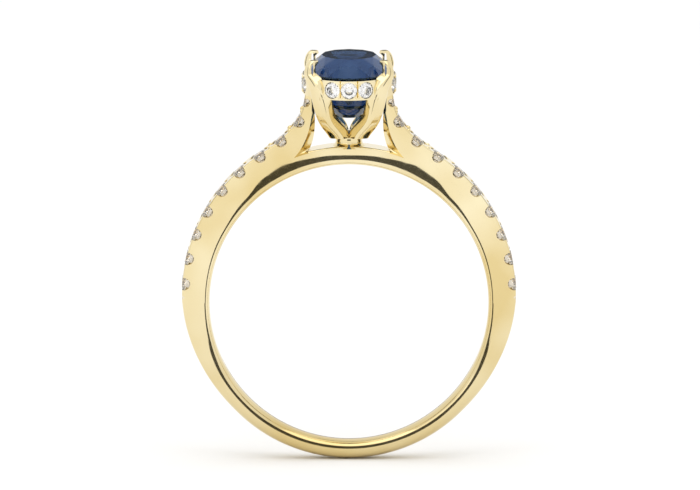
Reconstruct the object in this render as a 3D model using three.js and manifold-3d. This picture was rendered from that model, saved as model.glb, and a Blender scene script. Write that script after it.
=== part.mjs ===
// Cathedral engagement ring: an oval sapphire in four split claws above a hidden halo of small diamonds,
// with a row of cut-down diamonds on each shoulder.
//
// Units are millimetres. The origin is the centre of the finger hole. +Y runs along the finger,
// +Z points from the finger to the sapphire and +X to the right shoulder.

import * as THREE from "three";
import { mergeVertices } from "three/addons/utils/BufferGeometryUtils.js";
import Module from "manifold-3d";

const wasm = await Module();
wasm.setup();

// ---------------------------------------------------------------------------------------------------
// Driving dimensions, in millimetres and degrees
// ---------------------------------------------------------------------------------------------------

// Fits
const SOLDER_GAP = 0.02; // between two metal pieces that are soldered together
const SEAT_GAP = 0.02; // around a small diamond in its seat
const BEARING_GAP = 0.04; // around the sapphire in its collar and claws

// Finger hole and shank
const FINGER_DIAMETER = 16.5;
const SHANK_THICKNESS = 1.12; // at the base of the finger
const SHANK_WIDTH = 1.75; // at the base of the finger
const SHANK_TAPER_ANGLE = 45; // below the shoulder joint, where the shank reaches its base thickness
const SHANK_TAPER_POWER = 1.4; // how quickly the thickness falls away below the joint
const SHANK_SQUARENESS = 5.5; // superellipse exponent of the section at the shoulder joint
const SHANK_ROUNDNESS = 2.5; // superellipse exponent of the section at the base

// Shoulders
const SHOULDER_WIDTH = 1.95;
const SHOULDER_LOW_THICKNESS = 1.62; // at the joint with the shank
const SHOULDER_HIGH_THICKNESS = 2.08; // where the arch starts to lift towards the head
const SHOULDER_LIFT_ANGLE = 60; // above the joint, where the arch starts to lift
const SHOULDER_TIP_INSET = 0.15; // top of the arch inside the collar's outer wall
const SHOULDER_CHAMFER = 0.12;

// Curves of a shoulder, as shares of the distance each curve spans
const OUTER_LIFT_PULL = 0.35; // how far the outer edge keeps its direction above the lift
const OUTER_TIP_PULL = 0.37; // how far the outer edge runs straight down from the collar
const ARCH_TOP_LEAN = 0.04; // sideways lean of the arch under the collar
const ARCH_TOP_PULL = 0.3;
const ARCH_FOOT_LEAN = 0.17; // sideways lean of the arch above the bridge
const ARCH_FOOT_PULL = 0.27;

// Bridge under the head
const BRIDGE_THICKNESS = 1.12;
const BRIDGE_HALF_ANGLE = 15; // to each side of the head

// Shoulder diamonds
const ROW_COUNT = 10; // stones on each shoulder, fewer if they would pass the joint
const ROW_DIAMETER = 1.3;
const ROW_BAR = 0.24; // metal between neighbouring stones
const ROW_TIP_DIAMETER = 0.9; // the small stone under the collar
const ROW_TIP_MARGIN = 0.04; // metal above the small stone
const ROW_TIP_BAR = 0.08; // metal between the small stone and its neighbour
const ROW_END_MARGIN = 0.1; // metal between the last stone and the joint with the shank
const ROW_PROUD = 0.08; // table above the metal
const SCALLOP_RADIUS = 0.36; // cut in both walls beside each stone
const SCALLOP_DEPTH = 0.1; // centre of the cut below the metal's surface

// Sapphire
const SAPPHIRE_LENGTH = 7.0;
const SAPPHIRE_WIDTH = 5.0;
const SAPPHIRE_CROWN = 0.94;
const SAPPHIRE_GIRDLE = 0.1;
const SAPPHIRE_PAVILION = 2.6;
const GIRDLE_RISE = 5.45; // underside of the girdle above the top of the finger hole

// Halo collar under the girdle
const COLLAR_HEIGHT = 1.14;
const COLLAR_PROUD = 0.25; // beyond the sapphire's girdle
const COLLAR_DROP = 0.06; // top of the collar below the girdle
const HALO_DIAMETER = 0.84;
const HALO_PROUD = 0.05; // table beyond the collar
const HALO_END_COUNT = 3; // stones between the claws at each end of the sapphire
const HALO_END_BAR = 0.23; // metal between neighbouring stones there
const HALO_SIDE_COUNT = 3; // stones between the claws at each side
const HALO_SIDE_BAR = 0.18; // metal between neighbouring stones there

// Claws and collet
const CLAW_ANGLE = 36.9; // ellipse parameter of each claw, measured from the sapphire's side
const CLAW_WIDTH = 0.62; // along the girdle
const CLAW_THICKNESS = 0.56; // outwards from the girdle
const CLAW_TIP_DROP = 0.06; // top of the claws below the sapphire's table
const LEG_WIDTH = 0.9; // half way up to the collar
const LEG_THICKNESS = 0.85;
const LEG_COLLAR_ANGLE = 46; // ellipse parameter where the leg crosses the collar
const LEG_COLLAR_WIDTH = 1.25;
const LEG_COLLAR_THICKNESS = 0.8;
const LEG_COLLAR_PROUD = 0.28; // outer face of the leg beyond the collar
const SLOT_WIDTH = 0.12;
const SLOT_BLADE = 0.15; // metal between the slot and the girdle
const SLOT_HEIGHT = 0.72;
const SLOT_START = 0.04; // bottom of the slot above the girdle's underside
const CLAW_SQUARENESS = 4.5; // superellipse exponent of a claw's section
const COLLET_DIAMETER = 1.54;
const COLLET_HEIGHT = 0.5; // above the bridge
const COLLET_RIM_DIAMETER = 1.63;
const COLLET_RIM_HEIGHT = 0.1; // straight part of the rim
const COLLET_FLARE_HEIGHT = 0.075; // slope between the stem and the rim

// Round brilliant proportions, as shares of the stone's diameter
const BRILLIANT_TABLE = 0.57;
const BRILLIANT_CROWN = 0.15;
const BRILLIANT_GIRDLE = 0.03;
const BRILLIANT_PAVILION = 0.41;
const HALO_PAVILION = 0.36; // the halo stones are cut shallow

// Smoothness
const ROUND_STEPS = 10; // facets around a small stone
const BED_STEPS = 320; // facets of the round bed under the collet
const OVAL_STEPS = 40; // facets around the sapphire and collar
const SHANK_STEPS = 44; // stations along the shank
const SECTION_STEPS = 16; // points around a shank or claw section
const ARCH_STEPS = 12; // points along each curve of a shoulder
const CLAW_STEPS = 16; // stations along a claw
const WALK_STEPS = 200; // short steps along the collar when its stones are spaced
const WELD_DISTANCE = 1e-5; // corners closer than this are one corner

// ---------------------------------------------------------------------------------------------------
// Derived sizes
// ---------------------------------------------------------------------------------------------------

const RIGHT_ANGLE = Math.PI / 2;
const FINGER_RADIUS = FINGER_DIAMETER / 2;
const BRIDGE_TOP = FINGER_RADIUS + BRIDGE_THICKNESS;
const GIRDLE_Z = FINGER_RADIUS + GIRDLE_RISE;
const TABLE_Z = GIRDLE_Z + SAPPHIRE_GIRDLE + SAPPHIRE_CROWN;
const COLLAR_TOP = GIRDLE_Z - COLLAR_DROP;
const COLLAR_BOTTOM = COLLAR_TOP - COLLAR_HEIGHT;
const COLLAR_HALF_WIDTH = SAPPHIRE_WIDTH / 2 + COLLAR_PROUD;
const COLLAR_HALF_LENGTH = SAPPHIRE_LENGTH / 2 + COLLAR_PROUD;
const COLLET_TOP = BRIDGE_TOP + COLLET_HEIGHT;
const ROW_PITCH = ROW_DIAMETER + ROW_BAR;
const HALO_END_PITCH = HALO_DIAMETER + HALO_END_BAR;
const HALO_SIDE_PITCH = HALO_DIAMETER + HALO_SIDE_BAR;
const WEDGE_REACH = 2; // the wedges between claws, as a multiple of the collar's corner

// Half outline of the sapphire: share of the girdle's half width, share of the pavilion's or crown's height
const PAVILION_OUTLINE = [
  [0.32, 1],
  [0.62, 0.73],
  [0.86, 0.38],
];
const CROWN_OUTLINE = [
  [0.86, 0.52],
  [0.65, 1],
];

// Sections of a claw's leg: share of the way out to the collar's corner, share of the rise from the
// collet to the collar, share of the leg's full section
const LEG_SECTIONS = [
  [0.16, -0.15, 0.8],
  [0.34, 0.13, 0.8],
  [0.64, 0.5, 1],
];

// Sections where the leg crosses the collar: share of the way out, share of the collar's height
const CROSSING_SECTIONS = [
  [0.9, 0],
  [1, 0.55],
];

// Sections beside the sapphire: share of the crown's height, share of the claw's offset from the girdle,
// share of the claw's full section
const GRIP_SECTIONS = [
  [0.08, 1, 1],
  [0.5, 1, 1],
  [0.72, 0.7, 0.9],
  [0.9, -0.35, 0.55],
];

// ---------------------------------------------------------------------------------------------------
// Materials
// ---------------------------------------------------------------------------------------------------

function yellowGold() {
  return new THREE.MeshStandardMaterial({ color: 0xe6c885, roughness: 0.18, metalness: 1 });
}

function blueSapphire() {
  return new THREE.MeshStandardMaterial({ color: 0x16284f, roughness: 0.05, metalness: 0 });
}

function whiteDiamond() {
  return new THREE.MeshStandardMaterial({ color: 0xe9e7e2, roughness: 0.04, metalness: 0 });
}

// ---------------------------------------------------------------------------------------------------
// Joining and cutting
// ---------------------------------------------------------------------------------------------------

/** Turns a closed geometry into a manifold-3d solid. */
function toSolid(geometry) {
  const bare = geometry.clone();
  bare.deleteAttribute("normal");
  bare.deleteAttribute("uv");
  const merged = mergeVertices(bare, WELD_DISTANCE);
  const triangles = [];
  for (let i = 0; i < merged.index.count; i += 3) {
    const corners = [merged.index.getX(i), merged.index.getX(i + 1), merged.index.getX(i + 2)];
    if (new Set(corners).size === 3) {
      triangles.push(...corners);
    }
  }
  const mesh = new wasm.Mesh({
    numProp: 3,
    vertProperties: new Float32Array(merged.attributes.position.array),
    triVerts: new Uint32Array(triangles),
  });
  return new wasm.Manifold(mesh);
}

/** Turns a manifold-3d solid back into a geometry. */
function toGeometry(solid) {
  const mesh = solid.getMesh();
  const geometry = new THREE.BufferGeometry();
  geometry.setAttribute("position", new THREE.BufferAttribute(mesh.vertProperties, 3));
  geometry.setIndex(new THREE.BufferAttribute(mesh.triVerts, 1));
  geometry.computeVertexNormals();
  return geometry;
}

/** A box given by its lowest and highest corners. */
function boxBetween(low, high) {
  const size = new THREE.Vector3().subVectors(high, low);
  const box = new THREE.BoxGeometry(size.x, size.y, size.z);
  box.translate((low.x + high.x) / 2, (low.y + high.y) / 2, (low.z + high.z) / 2);
  return box;
}

/** Skins a row of rings, each an equal list of points, and closes both ends. */
function loft(rings) {
  const points = rings.flat();
  const count = rings[0].length;
  const last = rings.length - 1;
  const indices = [];
  for (let i = 0; i < last; i += 1) {
    for (let j = 0; j < count; j += 1) {
      const next = (j + 1) % count;
      const a = i * count + j;
      const b = i * count + next;
      indices.push(a, b, b + count, a, b + count, a + count);
    }
  }
  for (const ring of [0, last]) {
    const centre = new THREE.Vector3();
    rings[ring].forEach((point) => centre.addScaledVector(point, 1 / count));
    const hub = points.push(centre) - 1;
    for (let j = 0; j < count; j += 1) {
      const a = ring * count + j;
      const b = ring * count + ((j + 1) % count);
      indices.push(...(ring === 0 ? [hub, b, a] : [hub, a, b]));
    }
  }
  const geometry = new THREE.BufferGeometry().setFromPoints(points);
  geometry.setIndex(indices);
  geometry.computeVertexNormals();
  return geometry;
}

/** Extrudes an outline drawn in X and Z to both sides of the ring's middle plane. */
function extrudeAcross(outline, width, chamfer) {
  const geometry = new THREE.ExtrudeGeometry(new THREE.Shape(outline), {
    depth: width - 2 * chamfer,
    steps: 1,
    bevelEnabled: chamfer > 0,
    bevelThickness: chamfer,
    bevelSize: chamfer,
    bevelOffset: -chamfer,
    bevelSegments: 1,
  });
  geometry.translate(0, 0, chamfer - width / 2);
  geometry.rotateX(RIGHT_ANGLE);
  return geometry;
}

/** A point at an angle above the +X axis, in the ring's side view. */
function polar(radius, degrees) {
  const angle = THREE.MathUtils.degToRad(degrees);
  return new THREE.Vector2(radius * Math.cos(angle), radius * Math.sin(angle));
}

/** Sides of a superellipse, from a round oval at exponent 2 to a rounded box at 6. */
function superellipse(angle, exponent) {
  const power = 2 / exponent;
  const across = Math.sign(Math.cos(angle)) * Math.abs(Math.cos(angle)) ** power;
  const up = Math.sign(Math.sin(angle)) * Math.abs(Math.sin(angle)) ** power;
  return new THREE.Vector2(across, up);
}

// ---------------------------------------------------------------------------------------------------
// Shank
// ---------------------------------------------------------------------------------------------------

/** Section of the shank at an angle below the right-hand joint. */
function shankSection(degrees) {
  const fromJoint = Math.min(degrees, 180 - degrees);
  const fall = Math.max(0, 1 - fromJoint / SHANK_TAPER_ANGLE);
  const growth = (SHOULDER_LOW_THICKNESS - SHANK_THICKNESS) * fall ** SHANK_TAPER_POWER;
  const thickness = SHANK_THICKNESS + growth;
  const width = THREE.MathUtils.lerp(SHANK_WIDTH, SHOULDER_WIDTH, fall);
  const exponent = THREE.MathUtils.lerp(SHANK_ROUNDNESS, SHANK_SQUARENESS, fall);
  const ring = [];
  for (let i = 0; i < SECTION_STEPS; i += 1) {
    const side = superellipse(((i + 0.5) / SECTION_STEPS) * 2 * Math.PI, exponent);
    const radius = FINGER_RADIUS + (thickness / 2) * (1 + side.y);
    const spot = polar(radius, -degrees);
    ring.push(new THREE.Vector3(spot.x, (width / 2) * side.x, spot.y - SOLDER_GAP / 2));
  }
  return ring;
}

function shank() {
  const rings = [];
  for (let i = 0; i <= SHANK_STEPS; i += 1) {
    rings.push(shankSection((180 * i) / SHANK_STEPS));
  }
  return loft(rings);
}

// ---------------------------------------------------------------------------------------------------
// Round brilliants and their seats
// ---------------------------------------------------------------------------------------------------

/** A round brilliant with its girdle at the origin and its table towards +Y. */
function brilliant(diameter, pavilionShare) {
  const radius = diameter / 2;
  const halfGirdle = (diameter * BRILLIANT_GIRDLE) / 2;
  const outline = [
    new THREE.Vector2(0, -halfGirdle - diameter * pavilionShare),
    new THREE.Vector2(radius, -halfGirdle),
    new THREE.Vector2(radius, halfGirdle),
    new THREE.Vector2(radius * BRILLIANT_TABLE, halfGirdle + diameter * BRILLIANT_CROWN),
    new THREE.Vector2(0, halfGirdle + diameter * BRILLIANT_CROWN),
  ];
  return new THREE.LatheGeometry(outline, ROUND_STEPS);
}

/** Height of a brilliant's table above the middle of its girdle. */
function tableHeight(diameter) {
  return diameter * (BRILLIANT_CROWN + BRILLIANT_GIRDLE / 2);
}

/** The hole that a brilliant drops into: a cone for the pavilion and a shaft above the girdle. */
function seatCutter(diameter, pavilionShare) {
  const radius = diameter / 2 + SEAT_GAP;
  const lip = -(diameter * BRILLIANT_GIRDLE) / 2 - SEAT_GAP;
  const outline = [
    new THREE.Vector2(0, lip - diameter * pavilionShare - SEAT_GAP),
    new THREE.Vector2(radius, lip),
    new THREE.Vector2(radius, diameter),
    new THREE.Vector2(0, diameter),
  ];
  return new THREE.LatheGeometry(outline, ROUND_STEPS);
}

/** Turns a shape made around +Y to face a direction, and moves it to a place. */
function aim(object, place, direction) {
  object.quaternion.setFromUnitVectors(new THREE.Vector3(0, 1, 0), direction);
  object.position.copy(place);
  return object;
}

/** The same for a bare geometry. */
function aimGeometry(geometry, place, direction) {
  const holder = aim(new THREE.Object3D(), place, direction);
  holder.updateMatrix();
  return geometry.applyMatrix4(holder.matrix);
}

// ---------------------------------------------------------------------------------------------------
// Shoulders
// ---------------------------------------------------------------------------------------------------

/** Thickness of the right-hand shoulder at an angle above its joint, below the lift. */
function shoulderThickness(degrees) {
  const share = degrees / SHOULDER_LIFT_ANGLE;
  return THREE.MathUtils.lerp(SHOULDER_LOW_THICKNESS, SHOULDER_HIGH_THICKNESS, share);
}

/** Outer edge of the right-hand shoulder, from the joint up to the collar. */
function shoulderOuterCurve() {
  const round = [];
  for (let i = 0; i <= ARCH_STEPS; i += 1) {
    const degrees = (SHOULDER_LIFT_ANGLE * i) / ARCH_STEPS;
    round.push(polar(FINGER_RADIUS + shoulderThickness(degrees), degrees));
  }
  const start = round[ARCH_STEPS];
  const end = new THREE.Vector2(COLLAR_HALF_WIDTH - SHOULDER_TIP_INSET, COLLAR_BOTTOM - SOLDER_GAP);
  const span = start.distanceTo(end);
  const leave = new THREE.Vector2().subVectors(start, round[ARCH_STEPS - 1]);
  leave.setLength(span * OUTER_LIFT_PULL);
  const arrive = new THREE.Vector2(0, -span * OUTER_TIP_PULL);
  const curve = new THREE.CurvePath();
  curve.add(new THREE.SplineCurve(round));
  curve.add(new THREE.CubicBezierCurve(start, start.clone().add(leave), end.clone().add(arrive), end));
  return curve;
}

/** Inner edge of the arch, from the collar down to the bridge. */
function shoulderInnerCurve() {
  const top = COLLAR_BOTTOM - SOLDER_GAP;
  const start = new THREE.Vector2(sapphireHalfWidth(top) + 2 * BEARING_GAP, top);
  const end = polar(BRIDGE_TOP, 90 - BRIDGE_HALF_ANGLE);
  const drop = start.y - end.y;
  return new THREE.CubicBezierCurve(
    start,
    new THREE.Vector2(start.x - drop * ARCH_TOP_LEAN, start.y - drop * ARCH_TOP_PULL),
    new THREE.Vector2(end.x - drop * ARCH_FOOT_LEAN, end.y + drop * ARCH_FOOT_PULL),
    end,
  );
}

/** Outline of the right-hand shoulder in the side view. */
function shoulderOutline() {
  const bridgeSide = 90 - BRIDGE_HALF_ANGLE;
  const outline = shoulderOuterCurve().curves.flatMap((curve) => curve.getPoints(ARCH_STEPS));
  outline.push(...shoulderInnerCurve().getPoints(ARCH_STEPS));
  for (let i = 0; i <= 2 * ARCH_STEPS; i += 1) {
    outline.push(polar(FINGER_RADIUS, bridgeSide * (1 - i / (2 * ARCH_STEPS))));
  }
  outline.forEach((point) => point.add(new THREE.Vector2(0, SOLDER_GAP / 2)));
  return outline.filter((point, i) => i === 0 || point.distanceTo(outline[i - 1]) > WELD_DISTANCE);
}

/** Place, outward direction and diameter of each stone on the right-hand shoulder, from the collar down. */
function rowStones() {
  const curve = shoulderOuterCurve();
  const length = curve.getLength();
  const first = ROW_TIP_MARGIN + ROW_TIP_DIAMETER / 2;
  const second = first + ROW_TIP_BAR + (ROW_TIP_DIAMETER + ROW_DIAMETER) / 2;
  const stones = [];
  for (let i = 0; i < ROW_COUNT; i += 1) {
    const along = i === 0 ? first : second + (i - 1) * ROW_PITCH;
    const share = 1 - along / length;
    const diameter = i === 0 ? ROW_TIP_DIAMETER : ROW_DIAMETER;
    if (along + diameter / 2 + ROW_END_MARGIN > length) {
      break;
    }
    const surface = curve.getPointAt(share);
    const tangent = curve.getTangentAt(share);
    const outward = new THREE.Vector3(tangent.y, 0, -tangent.x);
    const sink = tableHeight(diameter) - ROW_PROUD;
    stones.push({
      surface: new THREE.Vector3(surface.x, 0, surface.y),
      place: new THREE.Vector3(surface.x, 0, surface.y).addScaledVector(outward, -sink),
      outward,
      diameter,
    });
  }
  return stones;
}

/** The cut through both walls beside one stone. */
function scallopCutter(stone) {
  const reach = SHOULDER_WIDTH;
  const cutter = new THREE.CylinderGeometry(SCALLOP_RADIUS, SCALLOP_RADIUS, 2 * reach, ROUND_STEPS);
  const centre = stone.surface.clone().addScaledVector(stone.outward, -SCALLOP_DEPTH);
  cutter.translate(centre.x, 0, centre.z);
  return cutter;
}

function rightShoulder() {
  let solid = toSolid(extrudeAcross(shoulderOutline(), SHOULDER_WIDTH, SHOULDER_CHAMFER));
  for (const stone of rowStones()) {
    const seat = seatCutter(stone.diameter, BRILLIANT_PAVILION);
    solid = solid.subtract(toSolid(aimGeometry(seat, stone.place, stone.outward)));
    solid = solid.subtract(toSolid(scallopCutter(stone)));
  }
  return solid;
}

// ---------------------------------------------------------------------------------------------------
// Bridge and collet
// ---------------------------------------------------------------------------------------------------

function bridge() {
  const endTrim = THREE.MathUtils.radToDeg(SOLDER_GAP / FINGER_RADIUS);
  const half = BRIDGE_HALF_ANGLE - endTrim;
  const top = [];
  const bottom = [];
  for (let i = 0; i <= ARCH_STEPS; i += 1) {
    const share = (2 * i) / ARCH_STEPS - 1;
    top.push(polar(BRIDGE_TOP, 90 - share * half));
    bottom.push(polar(FINGER_RADIUS, 90 + share * half));
  }
  return extrudeAcross([...top, ...bottom], SHOULDER_WIDTH, SHOULDER_CHAMFER);
}

/** Short round stem between the bridge and the feet of the claws. */
function collet() {
  const waist = COLLET_DIAMETER / 2;
  const rim = COLLET_RIM_DIAMETER / 2;
  const outline = [
    new THREE.Vector2(0, FINGER_RADIUS),
    new THREE.Vector2(waist, FINGER_RADIUS),
    new THREE.Vector2(waist, COLLET_TOP - COLLET_RIM_HEIGHT - COLLET_FLARE_HEIGHT),
    new THREE.Vector2(rim, COLLET_TOP - COLLET_RIM_HEIGHT),
    new THREE.Vector2(rim, COLLET_TOP),
    new THREE.Vector2(0, COLLET_TOP),
  ];
  const stem = new THREE.LatheGeometry(outline, 2 * ROUND_STEPS);
  stem.rotateX(RIGHT_ANGLE);
  const bedRadius = BRIDGE_TOP + SOLDER_GAP;
  const bed = new THREE.CylinderGeometry(bedRadius, bedRadius, 2 * SHOULDER_WIDTH, BED_STEPS);
  return toGeometry(toSolid(stem).subtract(toSolid(bed)));
}

// ---------------------------------------------------------------------------------------------------
// Sapphire and halo collar
// ---------------------------------------------------------------------------------------------------

/** Half width of the sapphire's pavilion at a height below the girdle. */
function sapphireHalfWidth(height) {
  const depth = (GIRDLE_Z - height) / SAPPHIRE_PAVILION;
  const outline = [[1, 0], ...[...PAVILION_OUTLINE].reverse()];
  const next = outline.findIndex((point) => point[1] >= depth);
  const [lowShare, lowDepth] = outline[next];
  const [highShare, highDepth] = outline[next - 1];
  const mix = (depth - highDepth) / (lowDepth - highDepth);
  return (SAPPHIRE_WIDTH / 2) * THREE.MathUtils.lerp(highShare, lowShare, mix);
}

/** The oval stone, grown by a gap when it cuts its own seat. */
function sapphire(gap) {
  const outline = [new THREE.Vector2(0, -SAPPHIRE_PAVILION - gap)];
  for (const [share, depth] of PAVILION_OUTLINE) {
    outline.push(new THREE.Vector2(share, -SAPPHIRE_PAVILION * depth - gap));
  }
  outline.push(new THREE.Vector2(1, -gap));
  outline.push(new THREE.Vector2(1, SAPPHIRE_GIRDLE + gap));
  for (const [share, rise] of CROWN_OUTLINE) {
    outline.push(new THREE.Vector2(share, SAPPHIRE_GIRDLE + SAPPHIRE_CROWN * rise + gap));
  }
  outline.push(new THREE.Vector2(0, SAPPHIRE_GIRDLE + SAPPHIRE_CROWN + gap));
  const stone = new THREE.LatheGeometry(outline, OVAL_STEPS);
  stone.rotateX(RIGHT_ANGLE);
  stone.scale(SAPPHIRE_WIDTH / 2 + gap, SAPPHIRE_LENGTH / 2 + gap, 1);
  stone.translate(0, 0, GIRDLE_Z);
  return stone;
}

/** A point on the collar's outer wall at an ellipse angle, with its outward direction. */
function collarSpot(angle) {
  const [across, along] = [Math.cos(angle), Math.sin(angle)];
  const place = new THREE.Vector3(COLLAR_HALF_WIDTH * across, COLLAR_HALF_LENGTH * along, 0);
  const outward = new THREE.Vector3(across / COLLAR_HALF_WIDTH, along / COLLAR_HALF_LENGTH, 0);
  outward.normalize();
  return { place, outward };
}

/** Ellipse angle at a distance along the collar's outer wall from a starting angle. */
function walkCollar(startAngle, distance) {
  let angle = startAngle;
  for (let i = 0; i < WALK_STEPS; i += 1) {
    const speed = Math.hypot(COLLAR_HALF_WIDTH * Math.sin(angle), COLLAR_HALF_LENGTH * Math.cos(angle));
    angle += distance / WALK_STEPS / speed;
  }
  return angle;
}

// The four arcs of the collar between the claws, each with its row of stones
const COLLAR_ARCS = [
  { name: "right", middle: 0, count: HALO_SIDE_COUNT, pitch: HALO_SIDE_PITCH },
  { name: "back", middle: RIGHT_ANGLE, count: HALO_END_COUNT, pitch: HALO_END_PITCH },
  { name: "left", middle: 2 * RIGHT_ANGLE, count: HALO_SIDE_COUNT, pitch: HALO_SIDE_PITCH },
  { name: "front", middle: 3 * RIGHT_ANGLE, count: HALO_END_COUNT, pitch: HALO_END_PITCH },
];

/** Place and direction of each stone on one arc of the collar. */
function haloStones(arc) {
  const stones = [];
  for (let i = 0; i < arc.count; i += 1) {
    const distance = (i - (arc.count - 1) / 2) * arc.pitch;
    const { place, outward } = collarSpot(walkCollar(arc.middle, distance));
    place.z = (COLLAR_TOP + COLLAR_BOTTOM) / 2;
    place.addScaledVector(outward, HALO_PROUD - tableHeight(HALO_DIAMETER));
    stones.push({ place, outward });
  }
  return stones;
}

/** Everything on one side of the head, between the middles of two claws. */
function arcWedge(arc) {
  const corner = collarSpot(THREE.MathUtils.degToRad(LEG_COLLAR_ANGLE)).place;
  const facing = new THREE.Vector2(Math.round(Math.cos(arc.middle)), Math.round(Math.sin(arc.middle)));
  const across = new THREE.Vector2(-facing.y, facing.x);
  const ahead = Math.abs(facing.x) ? corner.x : corner.y;
  const beside = Math.abs(facing.x) ? corner.y : corner.x;
  const spot = (forward, sideways) => {
    const place = facing.clone().multiplyScalar(forward * WEDGE_REACH + SOLDER_GAP);
    return place.addScaledVector(across, sideways * WEDGE_REACH);
  };
  const outline = [spot(0, 0), spot(ahead, -beside), spot(ahead, beside)];
  const settings = { depth: COLLAR_TOP, bevelEnabled: false };
  const wedge = new THREE.ExtrudeGeometry(new THREE.Shape(outline), settings);
  return toSolid(wedge);
}

/** The whole collar, cut for the sapphire and for the claws. */
function collarRing(clawCutters) {
  const wall = new THREE.CylinderGeometry(1, 1, COLLAR_HEIGHT, OVAL_STEPS);
  wall.rotateX(RIGHT_ANGLE);
  wall.scale(COLLAR_HALF_WIDTH, COLLAR_HALF_LENGTH, 1);
  wall.translate(0, 0, (COLLAR_TOP + COLLAR_BOTTOM) / 2);
  const stoneRoom = toSolid(sapphire(BEARING_GAP));
  return clawCutters.reduce((solid, cutter) => solid.subtract(cutter), toSolid(wall).subtract(stoneRoom));
}

/** One arc of the collar with its seats. */
function collarArc(ringSolid, arc) {
  let solid = ringSolid.intersect(arcWedge(arc));
  for (const stone of haloStones(arc)) {
    const seat = seatCutter(HALO_DIAMETER, HALO_PAVILION);
    solid = solid.subtract(toSolid(aimGeometry(seat, stone.place, stone.outward)));
  }
  return toGeometry(solid);
}

// ---------------------------------------------------------------------------------------------------
// Claws
// ---------------------------------------------------------------------------------------------------

/** Where a claw crosses the girdle, and the direction it faces there. */
function clawFoot() {
  const angle = THREE.MathUtils.degToRad(CLAW_ANGLE);
  const place = new THREE.Vector3(
    (SAPPHIRE_WIDTH / 2) * Math.cos(angle), (SAPPHIRE_LENGTH / 2) * Math.sin(angle), GIRDLE_Z);
  const outward = new THREE.Vector3(
    Math.cos(angle) / SAPPHIRE_WIDTH, Math.sin(angle) / SAPPHIRE_LENGTH, 0).normalize();
  return { place, outward };
}

/** Stations up the claw in the back right quarter: centre, outward direction, width and thickness. */
function clawStations() {
  const foot = clawFoot();
  const crossing = collarSpot(THREE.MathUtils.degToRad(LEG_COLLAR_ANGLE));
  const legOut = new THREE.Vector3(crossing.place.x, crossing.place.y, 0).normalize();
  const legRise = COLLAR_BOTTOM - COLLET_TOP;
  const crown = TABLE_Z - GIRDLE_Z;
  const half = BEARING_GAP + CLAW_THICKNESS / 2;
  const cornerOffset = LEG_COLLAR_PROUD - LEG_COLLAR_THICKNESS / 2;
  const onCorner = crossing.place.clone().addScaledVector(crossing.outward, cornerOffset);
  const onLeg = (share, height, scale) => ({
    centre: crossing.place.clone().multiplyScalar(share).setZ(height),
    outward: legOut,
    width: LEG_WIDTH * scale,
    thickness: LEG_THICKNESS * scale,
  });
  const onCollar = (share, height) => ({
    centre: onCorner.clone().multiplyScalar(share).setZ(height),
    outward: crossing.outward,
    width: LEG_COLLAR_WIDTH,
    thickness: LEG_COLLAR_THICKNESS,
  });
  const onStone = (height, offset, scale) => ({
    centre: foot.place.clone().addScaledVector(foot.outward, offset).setZ(height),
    outward: foot.outward,
    width: CLAW_WIDTH * scale,
    thickness: CLAW_THICKNESS * scale,
  });
  return [
    ...LEG_SECTIONS.map(([out, up, scale]) => onLeg(out, COLLET_TOP + legRise * up, scale)),
    ...CROSSING_SECTIONS.map(([out, up]) => onCollar(out, COLLAR_BOTTOM + COLLAR_HEIGHT * up)),
    ...GRIP_SECTIONS.map(([up, out, scale]) => onStone(GIRDLE_Z + crown * up, half * out, scale)),
  ];
}

/** Skin of the claw in the back right quarter, grown all round by a gap. */
function clawSkin(gap) {
  const stations = clawStations();
  const path = new THREE.CatmullRomCurve3(stations.map((station) => station.centre), false, "centripetal");
  const rings = [];
  for (let i = 0; i <= CLAW_STEPS; i += 1) {
    const share = i / CLAW_STEPS;
    const position = share * (stations.length - 1);
    const low = Math.min(Math.floor(position), stations.length - 2);
    const mix = position - low;
    const [below, above] = [stations[low], stations[low + 1]];
    const width = THREE.MathUtils.lerp(below.width, above.width, mix) + 2 * gap;
    const depth = THREE.MathUtils.lerp(below.thickness, above.thickness, mix) + 2 * gap;
    const outward = below.outward.clone().lerp(above.outward, mix);
    const tangent = path.getTangent(share);
    const side = new THREE.Vector3(-outward.y, outward.x, 0);
    side.addScaledVector(tangent, -side.dot(tangent)).normalize();
    const front = new THREE.Vector3().crossVectors(tangent, side);
    const centre = path.getPoint(share);
    const ring = [];
    for (let j = 0; j < SECTION_STEPS; j += 1) {
      const spot = superellipse(((j + 0.5) / SECTION_STEPS) * 2 * Math.PI, CLAW_SQUARENESS);
      const point = centre.clone().addScaledVector(side, (spot.x * width) / 2);
      ring.push(point.addScaledVector(front, (spot.y * depth) / 2));
    }
    rings.push(ring);
  }
  return loft(rings);
}

/** The narrow pierced slot that splits a claw beside the sapphire. */
function slotCutter() {
  const { place, outward } = clawFoot();
  const slot = new THREE.BoxGeometry(SLOT_WIDTH, 2 * CLAW_WIDTH, SLOT_HEIGHT);
  slot.rotateZ(Math.atan2(outward.y, outward.x));
  const offset = BEARING_GAP + SLOT_BLADE + SLOT_WIDTH / 2;
  slot.translate(
    place.x + outward.x * offset,
    place.y + outward.y * offset,
    GIRDLE_Z + SLOT_START + SLOT_HEIGHT / 2,
  );
  return slot;
}

/** The claw in the back right quarter. */
function claw() {
  const low = new THREE.Vector3(SOLDER_GAP / 2, SOLDER_GAP / 2, COLLET_TOP + SOLDER_GAP);
  const high = new THREE.Vector3(SAPPHIRE_WIDTH, SAPPHIRE_LENGTH, TABLE_Z - CLAW_TIP_DROP);
  return toSolid(clawSkin(0))
    .intersect(toSolid(boxBetween(low, high)))
    .subtract(toSolid(sapphire(BEARING_GAP)))
    .subtract(toSolid(slotCutter()));
}

// ---------------------------------------------------------------------------------------------------
// Assembly
// ---------------------------------------------------------------------------------------------------

const ring = new THREE.Group();

function addPiece(name, geometry, material) {
  const piece = new THREE.Mesh(geometry, material);
  piece.name = name;
  ring.add(piece);
  return piece;
}

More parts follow.
